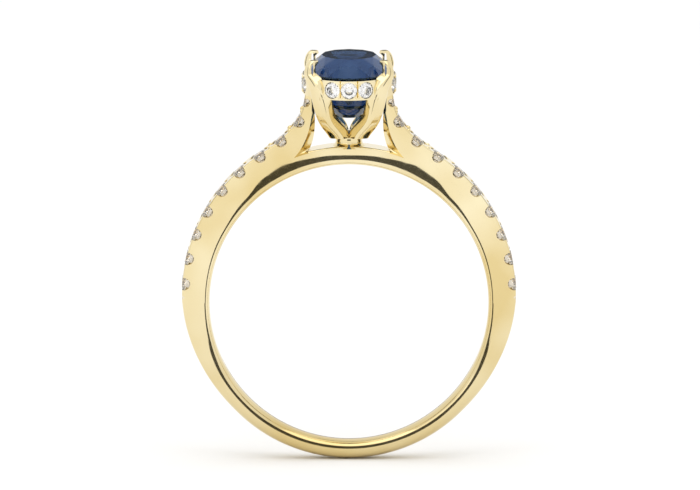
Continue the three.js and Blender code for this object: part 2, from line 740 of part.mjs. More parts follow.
const leftward = new THREE.Vector3(-1, 1, 1);

addPiece("shank", shank(), yellowGold());
addPiece("bridge", bridge(), yellowGold());
addPiece("collet", collet(), yellowGold());

const shoulder = rightShoulder();
addPiece("shoulder_right", toGeometry(shoulder), yellowGold());
addPiece("shoulder_left", toGeometry(shoulder.mirror([1, 0, 0])), yellowGold());

rowStones().forEach((stone, i) => {
  const number = String(i + 1).padStart(2, "0");
  const cut = brilliant(stone.diameter, BRILLIANT_PAVILION);
  aim(addPiece(`shoulder_diamond_right_${number}`, cut, whiteDiamond()), stone.place, stone.outward);
  const place = stone.place.clone().multiply(leftward);
  const outward = stone.outward.clone().multiply(leftward);
  aim(addPiece(`shoulder_diamond_left_${number}`, cut.clone(), whiteDiamond()), place, outward);
});

const CLAW_QUARTERS = [
  { name: "claw_back_right", flips: [] },
  { name: "claw_back_left", flips: [[1, 0, 0]] },
  { name: "claw_front_right", flips: [[0, 1, 0]] },
  { name: "claw_front_left", flips: [[1, 0, 0], [0, 1, 0]] },
];

/** Copies a solid into another quarter of the head. */
function toQuarter(solid, flips) {
  return flips.reduce((turned, normal) => turned.mirror(normal), solid);
}

const clawSolid = claw();
const clawRoom = toSolid(clawSkin(SOLDER_GAP));
for (const quarter of CLAW_QUARTERS) {
  addPiece(quarter.name, toGeometry(toQuarter(clawSolid, quarter.flips)), yellowGold());
}

const collarSolid = collarRing(CLAW_QUARTERS.map((quarter) => toQuarter(clawRoom, quarter.flips)));
for (const arc of COLLAR_ARCS) {
  addPiece(`halo_collar_${arc.name}`, collarArc(collarSolid, arc), yellowGold());
  haloStones(arc).forEach((stone, i) => {
    const cut = brilliant(HALO_DIAMETER, HALO_PAVILION);
    aim(addPiece(`halo_diamond_${arc.name}_${i + 1}`, cut, whiteDiamond()), stone.place, stone.outward);
  });
}
addPiece("sapphire", sapphire(0), blueSapphire());

export default ring;
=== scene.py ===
"""Looks for a cathedral engagement ring: yellow gold, an oval sapphire and small brilliant-cut diamonds.

Every piece is modelled in millimetres and reduced to metres when it is finished. The origin is the
centre of the finger hole, +Y runs along the finger, +Z points to the sapphire and +X to the right
shoulder.
"""

from __future__ import annotations

import logging
import math
from dataclasses import dataclass, field
from enum import Enum
from typing import Iterable, Sequence

import bmesh
import bpy
from mathutils import Matrix, Vector

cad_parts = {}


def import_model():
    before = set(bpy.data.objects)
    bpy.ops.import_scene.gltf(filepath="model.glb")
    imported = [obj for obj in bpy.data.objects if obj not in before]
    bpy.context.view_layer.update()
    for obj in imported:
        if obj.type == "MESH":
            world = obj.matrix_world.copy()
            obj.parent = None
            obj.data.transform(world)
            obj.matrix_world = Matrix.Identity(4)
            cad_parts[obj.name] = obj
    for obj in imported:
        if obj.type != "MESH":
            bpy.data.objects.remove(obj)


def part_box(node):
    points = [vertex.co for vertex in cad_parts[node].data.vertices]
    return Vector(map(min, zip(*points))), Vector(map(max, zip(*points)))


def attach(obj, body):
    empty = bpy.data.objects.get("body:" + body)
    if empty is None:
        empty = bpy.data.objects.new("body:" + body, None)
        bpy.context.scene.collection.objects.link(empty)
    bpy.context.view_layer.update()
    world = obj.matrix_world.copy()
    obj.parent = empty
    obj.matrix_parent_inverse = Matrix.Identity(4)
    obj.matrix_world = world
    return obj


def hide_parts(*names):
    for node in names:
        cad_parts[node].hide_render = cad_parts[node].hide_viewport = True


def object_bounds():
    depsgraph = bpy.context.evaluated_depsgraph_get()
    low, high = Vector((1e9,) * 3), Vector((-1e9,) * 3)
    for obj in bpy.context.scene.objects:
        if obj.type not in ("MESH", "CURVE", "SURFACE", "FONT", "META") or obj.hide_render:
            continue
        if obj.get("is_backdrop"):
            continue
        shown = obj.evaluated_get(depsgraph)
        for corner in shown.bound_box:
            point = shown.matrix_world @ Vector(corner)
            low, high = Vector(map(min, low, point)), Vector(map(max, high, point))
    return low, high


LOG = logging.getLogger("ring")
MM = 0.001
BODY = "root"
SMOOTH_ANGLE = math.radians(32)
BEVEL_ANGLE = math.radians(40)  # sharper edges than this are bevelled
BEVEL_STRIPS = 2
CUTTER_LENGTH = 4.0  # passes through both walls of a shoulder
SEAT_GAP = 0.015  # room round a small stone in its pocket
BEARING_GAP = 0.03  # room round the sapphire
GIRDLE_SHARE = 0.03  # height of a small stone's girdle, as a share of its diameter

ROW_STONES = 10  # on each shoulder
ROW_DIAMETER = 1.3  # of the full-sized stones
ROW_PAVILION = 0.41  # depth as a share of the diameter
ROW_SINK = 0.06  # how far the stones and their pockets lie below the solids' seats

HALO_STONES = 3  # on each arc
HALO_PAVILION = 0.36
HALO_GROWTH = 1.14  # size of a stone against its solid
HALO_LIFT = -0.02  # place of a stone against its solid, along its axis

Ring = list[Vector]
Sections = tuple[tuple[float, float, float], ...]  # place outwards, place upwards and width, as shares


class Labelled(Enum):
    """A choice whose name is part of the names of its pieces."""

    @property
    def label(self) -> str:
        """The name in lower case."""
        return self.name.lower()


class Side(Labelled):
    """The two shoulders, by the sign of X."""

    RIGHT = 1
    LEFT = -1


class Arc(Labelled):
    """The four arcs of the halo, by the angle of their middles in degrees."""

    RIGHT = 0
    BACK = 90
    LEFT = 180
    FRONT = 270


class Quarter(Labelled):
    """The four claws, by the signs of X and Y."""

    BACK_RIGHT = (1, 1)
    BACK_LEFT = (-1, 1)
    FRONT_RIGHT = (1, -1)
    FRONT_LEFT = (-1, -1)


# ----------------------------------------------------------------------------------------------------
# Bench work: small wrappers round the modelling operators
# ----------------------------------------------------------------------------------------------------


def clear_selection() -> None:
    """Leaves edit mode and deselects every object."""
    if bpy.context.mode != "OBJECT":
        bpy.ops.object.mode_set(mode="OBJECT")
    bpy.ops.object.select_all(action="DESELECT")


def take(obj: bpy.types.Object) -> bpy.types.Object:
    """Makes one object the only selected and the active one."""
    clear_selection()
    obj.select_set(True)
    bpy.context.view_layer.objects.active = obj
    return obj


def edit_all() -> None:
    """Enters edit mode with the whole mesh selected."""
    bpy.ops.object.mode_set(mode="EDIT")
    bpy.ops.mesh.select_all(action="SELECT")


def face_out() -> None:
    """Turns every face of the mesh outwards, and leaves edit mode."""
    bpy.ops.mesh.select_all(action="SELECT")
    bpy.ops.mesh.normals_make_consistent(inside=False)
    bpy.ops.object.mode_set(mode="OBJECT")


def turn_to(obj: bpy.types.Object, direction: Vector, axis: str = "Z") -> None:
    """Turns an object so that one of its axes looks in a direction."""
    obj.rotation_mode = "QUATERNION"
    obj.rotation_quaternion = direction.to_track_quat(axis, "Y")


def named(name: str) -> bpy.types.Object:
    """Names the primitive that was just added, and its mesh."""
    obj = bpy.context.active_object
    obj.name = name
    obj.data.name = name
    return obj


def place_points(obj: bpy.types.Object, ring: Sequence[Vector], old: Sequence[Vector]) -> None:
    """Moves the selected points of a mesh in edit mode from one outline to the next.

    Args:
        obj: The object in edit mode.
        ring: The places the points go to.
        old: The places the points are at, in the same order.
    """
    mesh = bmesh.from_edit_mesh(obj.data)
    spots = {tuple(round(c, 5) for c in spot): i for i, spot in enumerate(old)}
    for vert in mesh.verts:
        if vert.select:
            key = tuple(round(c, 5) for c in vert.co)
            vert.co = ring[spots[key]]
    bmesh.update_edit_mesh(obj.data)


def loft(name: str, rings: Sequence[Ring]) -> bpy.types.Object:
    """Extrudes a filled outline through a row of outlines, and leaves both ends closed.

    Args:
        name: Name of the new object.
        rings: Outlines with equal numbers of points, from the first end to the last.

    Returns:
        The closed solid.
    """
    clear_selection()
    count = len(rings[0])
    bpy.ops.mesh.primitive_circle_add(vertices=count, radius=1.0, fill_type="NGON")
    obj = named(name)
    start = [vert.co.copy() for vert in obj.data.vertices]
    edit_all()
    place_points(obj, rings[0], start)
    for before, after in zip(rings, rings[1:]):
        bpy.ops.mesh.extrude_region_move()
        place_points(obj, after, [Vector(spot) for spot in before])
    face_out()
    return obj


def settle(obj: bpy.types.Object) -> bpy.types.Object:
    """Applies an object's place, turn and size to its mesh."""
    take(obj)
    bpy.ops.object.transform_apply(location=True, rotation=True, scale=True)
    return obj


def combine(parts: Sequence[bpy.types.Object], name: str) -> bpy.types.Object:
    """Joins several objects into one.

    Args:
        parts: The objects to join, which are used up.
        name: Name of the joined object.

    Returns:
        The joined object.
    """
    clear_selection()
    for part in parts:
        part.select_set(True)
    bpy.context.view_layer.objects.active = parts[0]
    bpy.ops.object.join()
    return named(name)


def twin(obj: bpy.types.Object, name: str) -> bpy.types.Object:
    """Copies an object with its own mesh."""
    copy = obj.copy()
    copy.data = obj.data.copy()
    bpy.context.scene.collection.objects.link(copy)
    copy.name = name
    copy.data.name = name
    return copy


def mirrored(obj: bpy.types.Object, name: str, signs: tuple[int, int, int]) -> bpy.types.Object:
    """Copies an object, flips it across the ring's middle planes and turns its faces out again.

    Args:
        obj: The object to copy.
        name: Name of the copy.
        signs: 1 or -1 for each axis.

    Returns:
        The flipped copy.
    """
    copy = twin(obj, name)
    copy.scale = signs
    settle(copy)
    if signs[0] * signs[1] * signs[2] < 0:
        edit_all()
        face_out()
    return copy


def carve(
    obj: bpy.types.Object, cutter: bpy.types.Object, keep_cutter: bool = False
) -> bpy.types.Object:
    """Cuts one solid out of another.

    Args:
        obj: The solid that is cut.
        cutter: The solid that is taken away.
        keep_cutter: Whether the cutter stays for other cuts.

    Returns:
        The cut solid.
    """
    take(obj)
    modifier = obj.modifiers.new("carve", "BOOLEAN")
    modifier.operation = "DIFFERENCE"
    modifier.solver = "EXACT"
    modifier.object = cutter
    bpy.ops.object.modifier_apply(modifier=modifier.name)
    if not keep_cutter:
        bpy.data.objects.remove(cutter)
    return obj


def slice_off(spot: Vector, normal: Vector) -> None:
    """Cuts the solid in edit mode at a plane, drops what its normal points to, and closes the cut.

    Args:
        spot: A point on the plane.
        normal: The plane's normal.
    """
    bpy.ops.mesh.select_all(action="SELECT")
    bpy.ops.mesh.bisect(
        plane_co=spot, plane_no=normal, use_fill=True, clear_outer=True, threshold=1e-6)


def soften(obj: bpy.types.Object, width: float) -> None:
    """Welds a solid's slivers and bevels its sharp edges.

    Args:
        obj: The solid.
        width: Width of the bevel in millimetres.
    """
    take(obj)
    edit_all()
    bpy.ops.mesh.remove_doubles(threshold=0.004)
    bpy.ops.mesh.dissolve_degenerate(threshold=0.002)
    bpy.ops.object.mode_set(mode="OBJECT")
    modifier = obj.modifiers.new("soften", "BEVEL")
    modifier.width = width
    modifier.segments = BEVEL_STRIPS
    modifier.limit_method = "ANGLE"
    modifier.angle_limit = BEVEL_ANGLE
    modifier.use_clamp_overlap = True
    modifier.miter_outer = "MITER_SHARP"
    bpy.ops.object.modifier_apply(modifier=modifier.name)


def shade(obj: bpy.types.Object, flat: bool = False) -> None:
    """Shades a piece flat, or smooth with true flats.

    Args:
        obj: The piece.
        flat: Whether every face stays flat.
    """
    take(obj)
    if flat:
        bpy.ops.object.shade_flat()
        return
    bpy.ops.object.shade_smooth_by_angle(angle=SMOOTH_ANGLE)
    modifier = obj.modifiers.new("true_flats", "WEIGHTED_NORMAL")
    modifier.keep_sharp = True
    modifier.weight = 100
    bpy.ops.object.modifier_apply(modifier=modifier.name)


def deliver(
    obj: bpy.types.Object, finish: bpy.types.Material, nodes: Iterable[str]
) -> None:
    """Reduces a piece to metres, gives it its finish and puts it on the frame.

    Args:
        obj: The finished piece in millimetres.
        finish: Its material.
        nodes: The solids that it stands for.
    """
    obj.data.transform(Matrix.Scale(MM, 4))
    obj.data.update()
    obj.data.materials.clear()
    obj.data.materials.append(finish)
    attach(obj, BODY)
    node_list = list(nodes)
    if node_list:
        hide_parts(*node_list)
    LOG.info("%s: %d faces", obj.name, len(obj.data.polygons))


# ----------------------------------------------------------------------------------------------------
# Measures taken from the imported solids
# ----------------------------------------------------------------------------------------------------


def node_points(node: str) -> list[Vector]:
    """The distinct corners of a solid, in millimetres."""
    vertices = bpy.data.objects[node].data.vertices
    spots = {tuple(round(c / MM, 4) for c in vert.co) for vert in vertices}
    return [Vector(spot) for spot in sorted(spots)]


@dataclass(frozen=True)
class RingSizes:
    """The ring's main sizes in millimetres."""

    finger_radius: float
    bridge_top: float
    collet_top: float
    collet_radius: float
    collar_bottom: float
    collar_top: float
    collar_half_width: float
    collar_half_length: float
    girdle_z: float
    table_z: float
    culet_z: float
    stone_half_width: float
    stone_half_length: float
    shoulder_half_width: float
    joint_thickness: float
    base_thickness: float
    base_half_width: float

    @classmethod
    def from_frame(cls) -> "RingSizes":
        """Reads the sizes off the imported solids."""
        bridge = node_points("bridge")
        finger_radius = min(math.hypot(p.x, p.z) for p in bridge)
        stone = node_points("sapphire")
        half_width = max(p.x for p in stone)
        collar_low, collar_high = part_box("halo_collar_right")
        shank_low, shank_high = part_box("shank")
        base = [p for p in node_points("shank") if abs(p.x) < 1.0]
        return cls(
            finger_radius=finger_radius,
            bridge_top=max(math.hypot(p.x, p.z) for p in bridge),
            collet_top=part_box("collet")[1].z / MM,
            collet_radius=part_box("collet")[1].x / MM,
            collar_bottom=collar_low.z / MM,
            collar_top=collar_high.z / MM,
            collar_half_width=collar_high.x / MM,
            collar_half_length=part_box("halo_collar_back")[1].y / MM,
            girdle_z=min(p.z for p in stone if p.x > 0.999 * half_width),
            table_z=max(p.z for p in stone),
            culet_z=min(p.z for p in stone),
            stone_half_width=half_width,
            stone_half_length=max(p.y for p in stone),
            shoulder_half_width=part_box("shoulder_right")[1].y / MM,
            joint_thickness=shank_high.x / MM - finger_radius,
            base_thickness=-shank_low.z / MM - finger_radius,
            base_half_width=max(p.y for p in base),
        )


@dataclass(frozen=True)
class StoneSeat:
    """Where a small diamond sits."""

    place: Vector
    axis: Vector
    diameter: float

    def grown(self, factor: float, lift: float) -> "StoneSeat":
        """The same seat for a stone of another size, moved along its axis."""
        return StoneSeat(self.place + self.axis * lift, self.axis, self.diameter * factor)

    @classmethod
    def from_node(cls, node: str, pavilion: float, girdle: float) -> "StoneSeat":
        """Reads a stone's place, direction and size off its solid.

        Args:
            node: Name of the solid.
            pavilion: Depth of the pavilion as a share of the diameter.
            girdle: Height of the girdle as a share of the diameter.

        Returns:
            The seat.
        """
        points = node_points(node)
        middle = sum(points, Vector()) / len(points)
        axis = table_direction(node)
        spans = [p - middle for p in points]
        diameter = 2 * max((span - span.dot(axis) * axis).length for span in spans)
        culet = middle + axis * min(span.dot(axis) for span in spans)
        return cls(culet + axis * diameter * (pavilion + girdle / 2), axis, diameter)


def seats_of(nodes: Iterable[str], pavilion: float, growth: float, lift: float) -> dict[str, StoneSeat]:
    """Reads the seats of several solids.

    Args:
        nodes: Names of the solids.
        pavilion: Depth of their pavilions as a share of the diameter.
        growth: Size of the stones against their solids.
        lift: How far the stones move along their axes.

    Returns:
        Each solid's seat by its name.
    """
    return {
        node: StoneSeat.from_node(node, pavilion, GIRDLE_SHARE).grown(growth, lift) for node in nodes}


def table_direction(node: str) -> Vector:
    """The direction that a stone's largest flat face looks in."""
    areas: dict[tuple[float, ...], float] = {}
    for face in bpy.data.objects[node].data.polygons:
        key = tuple(round(c, 2) for c in face.normal)
        areas[key] = areas.get(key, 0.0) + face.area
    return Vector(max(areas, key=lambda key: areas[key])).normalized()


def aim(obj: bpy.types.Object, seat: StoneSeat) -> bpy.types.Object:
    """Turns a shape made along +Z to a seat's direction, and moves it there."""
    turn_to(obj, seat.axis)
    obj.location = seat.place
    return settle(obj)


# ----------------------------------------------------------------------------------------------------
# Finishes
# ----------------------------------------------------------------------------------------------------


class Nodes:
    """A short way to lay out a material's nodes."""

    def __init__(self, name: str) -> None:
        """Makes an empty material with an output."""
        self.material = bpy.data.materials.new(name)
        self.material.use_nodes = True
        self.tree = self.material.node_tree
        self.tree.nodes.clear()
        self.output = self.tree.nodes.new("ShaderNodeOutputMaterial")

    def add(self, kind: str, **values: object) -> bpy.types.Node:
        """Adds a node and sets its input sockets by name, with spaces written as underscores."""
        node = self.tree.nodes.new(kind)
        for key, value in values.items():
            node.inputs[key.replace("_", " ")].default_value = value
        return node

    def link(self, source: bpy.types.NodeSocket, target: bpy.types.NodeSocket) -> None:
        """Joins an output socket to an input socket."""
        self.tree.links.new(source, target)

    def pattern(
        self, scale: float, detail: float, stretch: tuple[float, float, float]
    ) -> bpy.types.NodeSocket:
        """A noise over the object, in metres.

        Args:
            scale: Blotches to the metre.
            detail: Octaves of finer noise.
            stretch: Factors along the axes.

        Returns:
            The noise's value socket.
        """
        place = self.add("ShaderNodeTexCoord")
        mapping = self.add("ShaderNodeMapping")
        mapping.inputs["Scale"].default_value = stretch
        noise = self.add("ShaderNodeTexNoise", Scale=scale, Detail=detail)
        self.link(place.outputs["Object"], mapping.inputs["Vector"])
        self.link(mapping.outputs["Vector"], noise.inputs["Vector"])
        return noise.outputs["Fac"]

    def height_share(self, high: float, low: float, most: float) -> bpy.types.NodeSocket:
        """A value that grows from 0 at one height to its most at a lower one, in metres."""
        place = self.add("ShaderNodeTexCoord")
        split = self.add("ShaderNodeSeparateXYZ")
        node = self.add("ShaderNodeMapRange", From_Min=low, From_Max=high, To_Min=most, To_Max=0.0)
        self.link(place.outputs["Object"], split.inputs["Vector"])
        self.link(split.outputs["Z"], node.inputs["Value"])
        return node.outputs["Result"]

    def tinted(self, colour: tuple[float, ...], factor: bpy.types.NodeSocket) -> bpy.types.Node:
        """A mix towards a colour, whose first colour is still to be given."""
        node = self.add("ShaderNodeMix")
        node.data_type = "RGBA"
        node.inputs["B"].default_value = colour
        self.link(factor, node.inputs["Factor"])
        return node

    def spread(self, source: bpy.types.NodeSocket, low: float, high: float) -> bpy.types.NodeSocket:
        """Maps the middle of a noise to a range of values."""
        node = self.add("ShaderNodeMapRange", From_Min=0.35, From_Max=0.65, To_Min=low, To_Max=high)
        self.link(source, node.inputs["Value"])
        return node.outputs["Result"]


@dataclass(frozen=True)
class PolishedGold:
    """Bright-polished 18 carat yellow gold with fine wear, and painted shade that darkens it towards the
    base.
    """

    pale: tuple[float, float, float, float] = (0.92, 0.82, 0.55, 1.0)
    deep: tuple[float, float, float, float] = (0.76, 0.61, 0.30, 1.0)
    # Painted shade: a darker, browner gold that the tone is mixed towards below a height, standing in
    # for the darker surroundings reflected in the ring's lower part.
    low: tuple[float, float, float, float] = (0.62, 0.47, 0.19, 1.0)
    painted_shade_top: float = 0.004
    painted_shade_bottom: float = -0.008
    painted_shade_strength: float = 0.6
    smoothest: float = 0.05
    roughest: float = 0.13
    ripple: float = 0.02

    def material(self) -> bpy.types.Material:
        """Lays out the nodes."""
        nodes = Nodes("polished_yellow_gold")
        shader = nodes.add("ShaderNodeBsdfPrincipled", Metallic=1.0)
        clouds = nodes.pattern(190.0, 2.0, (1.0, 1.0, 1.0))
        tone = nodes.tinted(self.deep, nodes.spread(clouds, 0.0, 1.0))
        tone.inputs["A"].default_value = self.pale
        # Painted shade: below a height the tone is mixed towards the darker colour, more strongly the
        # lower the point.
        depth = nodes.height_share(self.painted_shade_top, self.painted_shade_bottom, self.painted_shade_strength)
        lower = nodes.tinted(self.low, depth)
        nodes.link(tone.outputs["Result"], lower.inputs["A"])
        nodes.link(lower.outputs["Result"], shader.inputs["Base Color"])
        hairlines = nodes.pattern(2600.0, 4.0, (1.0, 7.0, 1.0))
        nodes.link(
            nodes.spread(hairlines, self.smoothest, self.roughest), shader.inputs["Roughness"])
        swell = nodes.pattern(900.0, 2.0, (1.0, 1.0, 1.0))
        bump = nodes.add("ShaderNodeBump", Strength=self.ripple, Distance=0.0002)
        nodes.link(swell, bump.inputs["Height"])
        nodes.link(bump.outputs["Normal"], shader.inputs["Normal"])
        nodes.link(shader.outputs["BSDF"], nodes.output.inputs["Surface"])
        return nodes.material


@dataclass(frozen=True)
class Gem:
    """A clear cut stone with a faint unevenness in its polish."""

    name: str
    tint: tuple[float, float, float, float]
    refraction: float
    body: tuple[float, float, float, float] | None = None
    density: float = 0.0
    gloss: float = 0.5
    sheen: tuple[float, float, float, float] = (1.0, 1.0, 1.0, 1.0)
    haze: tuple[float, float, float, float] = (0.0, 0.0, 0.0, 1.0)
    haze_share: float = 0.0

    def material(self) -> bpy.types.Material:
        """Lays out the nodes."""
        nodes = Nodes(self.name)
        shader = nodes.add("ShaderNodeBsdfPrincipled", IOR=self.refraction, Transmission_Weight=1.0)
        shader.inputs["Specular IOR Level"].default_value = self.gloss
        shader.inputs["Specular Tint"].default_value = self.sheen
        shader.inputs["Base Color"].default_value = self.tint
        polish = nodes.pattern(1500.0, 2.0, (1.0, 1.0, 1.0))
        nodes.link(nodes.spread(polish, 0.0, 0.02), shader.inputs["Roughness"])
        cloud = nodes.add("ShaderNodeBsdfDiffuse", Color=self.haze)
        mix = nodes.add("ShaderNodeMixShader")
        mix.inputs["Fac"].default_value = self.haze_share
        nodes.link(shader.outputs["BSDF"], mix.inputs[1])
        nodes.link(cloud.outputs["BSDF"], mix.inputs[2])
        nodes.link(mix.outputs["Shader"], nodes.output.inputs["Surface"])
        if self.body is not None:
            colour = nodes.add("ShaderNodeVolumeAbsorption", Density=self.density)
            colour.inputs["Color"].default_value = self.body
            nodes.link(colour.outputs["Volume"], nodes.output.inputs["Volume"])
        return nodes.material


@dataclass(frozen=True)
class PaleFloor:
    """Matt white studio floor."""

    tone: tuple[float, float, float, float] = (0.9, 0.9, 0.9, 1.0)

    def material(self) -> bpy.types.Material:
        """Lays out the nodes."""
        nodes = Nodes("pale_card_floor")
        shader = nodes.add("ShaderNodeBsdfPrincipled", Roughness=0.8)
        shader.inputs["Base Color"].default_value = self.tone
        nodes.link(shader.outputs["BSDF"], nodes.output.inputs["Surface"])
        return nodes.material


# ----------------------------------------------------------------------------------------------------
# Band: shank, shoulders and bridge
# ----------------------------------------------------------------------------------------------------


def polar(radius: float, degrees: float) -> Vector:
    """A point in the ring's side view at an angle above +X, as X and Z."""
    angle = math.radians(degrees)
    return Vector((radius * math.cos(angle), radius * math.sin(angle)))


def eased(share: float) -> float:
    """A share from 0 to 1 that starts and ends gently."""
    return share * share * (3 - 2 * share)


def circle(radius: float, z: float, steps: int) -> Ring:
    """Points of a level circle round the Z axis."""
    turns = [2 * math.pi * i / steps for i in range(steps)]
    return [Vector((radius * math.cos(t), radius * math.sin(t), z)) for t in turns]


def between(table: Sequence[tuple[float, float]], at: float) -> float:
    """Reads a smooth value from a table of places and values.

    Args:
        table: Pairs of place and value, in rising order of place.
        at: The place that is looked up.

    Returns:
        The value there, eased between its neighbours.
    """
    if at <= table[0][0]:
        return table[0][1]
    for (low, low_value), (high, high_value) in zip(table, table[1:]):
        if at <= high:
            return low_value + (high_value - low_value) * eased((at - low) / (high - low))
    return table[-1][1]


@dataclass(frozen=True)
class EdgePoint:
    """A point of a flat bar's outline, and how the bar's rim falls away from its side face there."""

    spot: Vector
    inset: Vector
    reach: float
    rounded: bool = True

    def at_depth(self, depth: float) -> Vector:
        """Where the outline passes at a depth below the side face, as X and Z."""
        left = max(0.0, 1.0 - depth / self.reach)
        share = 1.0 - math.sqrt(max(0.0, 1.0 - left * left)) if self.rounded else left
        return self.spot + self.inset * share


@dataclass
class Band:
    """Rounded rims and the shapes of the parts that run round the finger."""

    sizes: RingSizes
    rim_reach: float = 0.42
    rim_by_angle: tuple[tuple[float, float], ...] = (
        (0.0, 0.32), (30.0, 0.4), (46.0, 0.56), (57.0, 0.92),
        (64.0, 1.1), (69.0, 0.98), (77.0, 0.84), (90.0, 0.72))
    edge_inset: float = 0.1
    lift_angle: float = 60.0
    lift_thickness: float = 2.08
    bridge_half_angle: float = 15.0
    tip_inset: float = 0.15
    arch_top_gap: float = 0.08
    arch_chamfer: float = 0.12
    arch_reach: float = 0.34
    ledge_angle: float = 69.4
    ledge_steps: int = 10
    crotch_share: float = 0.08
    depths: tuple[float, ...] = (
        0.0, 0.008, 0.025, 0.05, 0.08, 0.12, 0.17, 0.23, 0.29, 0.34, 0.38, 0.42)
    steps: int = 40

    def rim(self, degrees: float) -> float:
        """Width of the comfort rounding beside the finger hole, at an angle above the joint."""
        return between(self.rim_by_angle, 90.0 - abs(90.0 - degrees))

    def slab(self, name: str, outline: Sequence[EdgePoint]) -> bpy.types.Object:
        """Builds a bar from its outline with rims on both side faces.

        Args:
            name: Name of the new object.
            outline: Points round the bar.

        Returns:
            The closed solid.
        """
        half = self.sizes.shoulder_half_width
        rings: list[Ring] = []
        for depth in self.depths:
            flat = [point.at_depth(depth) for point in outline]
            rings.append([Vector((p.x, depth - half, p.y)) for p in flat])
        rings += [[Vector((p.x, -p.y, p.z)) for p in ring] for ring in reversed(rings)]
        return loft(name, rings)

    def outer_curve(self) -> list[Vector]:
        """Outer edge of the right shoulder from the joint to the collar, as X and Z."""
        sizes = self.sizes
        curve = []
        for i in range(self.steps + 1):
            share = i / self.steps
            grow = sizes.joint_thickness + (self.lift_thickness - sizes.joint_thickness) * share
            curve.append(polar(sizes.finger_radius + grow, self.lift_angle * share))
        start, before = curve[-1], curve[-2]
        end = Vector((sizes.collar_half_width - self.tip_inset, sizes.collar_bottom))
        span = (end - start).length
        first = start + (start - before).normalized() * span * 0.35
        second = end - Vector((0.0, span * 0.37))
        return curve + bezier(start, first, second, end, self.steps)[1:]

    def arch_curve(self) -> list[Vector]:
        """Inner edge of the arch from the collar to the crotch, as X and Z."""
        sizes = self.sizes
        shrink = (sizes.girdle_z - sizes.collar_bottom) / (sizes.girdle_z - sizes.culet_z)
        width = sizes.stone_half_width * between(((0.0, 1.0), (0.38, 0.86), (0.73, 0.62)), shrink)
        start = Vector((width + self.arch_top_gap, sizes.collar_bottom))
        end = polar(sizes.bridge_top, 90.0 - self.bridge_half_angle)
        drop = start.y - end.y
        first = start - Vector((drop * 0.04, drop * 0.3))
        second = end + Vector((-drop * 0.17, drop * 0.27))
        return bezier(start, first, second, end, self.steps)

    def arch_front(self) -> list[Vector]:
        """Edge of the side face along the arch and the ledge to the crotch, as X and Z."""
        radius = self.sizes.bridge_top - self.edge_inset
        top = self.arch_curve()[0] + Vector((self.arch_chamfer, 0.0))
        low = polar(radius, self.ledge_angle)
        drop = top.y - low.y
        first = top - Vector((drop * 0.06, drop * 0.32))
        second = low + Vector((-drop * 0.24, drop * 0.25))
        edge = spread_points(bezier(top, first, second, low, self.steps), self.steps - self.ledge_steps)
        span = 90.0 - self.bridge_half_angle - self.ledge_angle
        for i in range(1, self.ledge_steps + 1):
            edge.append(polar(radius, self.ledge_angle + span * i / self.ledge_steps))
        return edge

    def arch_inside(self) -> list[Vector]:
        """Inner edge of the arch with its last points crowded into the crotch, as X and Z."""
        even = spread_points(self.arch_curve(), 16 * self.steps)
        split = round(len(even) * (1 - self.crotch_share))
        return spread_points(even[: split + 1], self.steps - self.ledge_steps) + spread_points(
            even[split:], self.ledge_steps)[1:]

    def shoulder_outline(self) -> list[EdgePoint]:
        """Outline of the right shoulder with its rims."""
        outline = []
        outer = self.outer_curve()
        for i, spot in enumerate(outer):
            ahead = outer[min(i + 1, len(outer) - 1)] - outer[max(i - 1, 0)]
            inward = Vector((-ahead.y, ahead.x)).normalized()
            if i in (0, len(outer) - 1):
                inward = Vector((-1.0, 0.0))
            outline.append(EdgePoint(spot, inward * self.edge_inset, self.edge_inset))
        for spot, edge in zip(self.arch_inside(), self.arch_front()):
            outline.append(EdgePoint(spot, edge - spot, self.arch_reach, rounded=False))
        foot = 90.0 - self.bridge_half_angle
        count = 2 * self.steps
        for i in range(count + 1):
            degrees = foot * (1 - i / count)
            spot = polar(self.sizes.finger_radius, degrees)
            outline.append(EdgePoint(spot, polar(self.rim(degrees), degrees), self.rim_reach))
        return outline

    def bridge_outline(self) -> list[EdgePoint]:
        """Outline of the bridge with its rims."""
        foot = 90.0 - self.bridge_half_angle
        top, bottom = [], []
        for i in range(self.steps + 1):
            degrees = foot + 2 * self.bridge_half_angle * i / self.steps
            spot = polar(self.sizes.bridge_top, degrees)
            top.append(EdgePoint(spot, polar(-self.edge_inset, degrees), self.edge_inset))
            low = polar(self.sizes.finger_radius, degrees)
            bottom.append(EdgePoint(low, polar(self.rim(degrees), degrees), self.rim_reach))
        return top + bottom[::-1]


def bezier(start: Vector, first: Vector, second: Vector, end: Vector, steps: int) -> list[Vector]:
    """Points along a cubic curve, both ends included."""
    points = []
    for i in range(steps + 1):
        t = i / steps
        u = 1.0 - t
        points.append(start * u**3 + first * 3 * u * u * t + second * 3 * u * t * t + end * t**3)
    return points


def spread_points(points: Sequence[Vector], steps: int) -> list[Vector]:
    """Spaces points evenly along a line of points.

    Args:
        points: The line.
        steps: Number of equal steps.

    Returns:
        The evenly spaced points, both ends included.
    """
    lengths = [0.0]
    for before, after in zip(points, points[1:]):
        lengths.append(lengths[-1] + (after - before).length)
    spaced = []
    low = 0
    for i in range(steps + 1):
        want = lengths[-1] * i / steps
        while low < len(points) - 2 and lengths[low + 1] < want:
            low += 1
        share = (want - lengths[low]) / (lengths[low + 1] - lengths[low])
        spaced.append(points[low].lerp(points[low + 1], share))
    return spaced


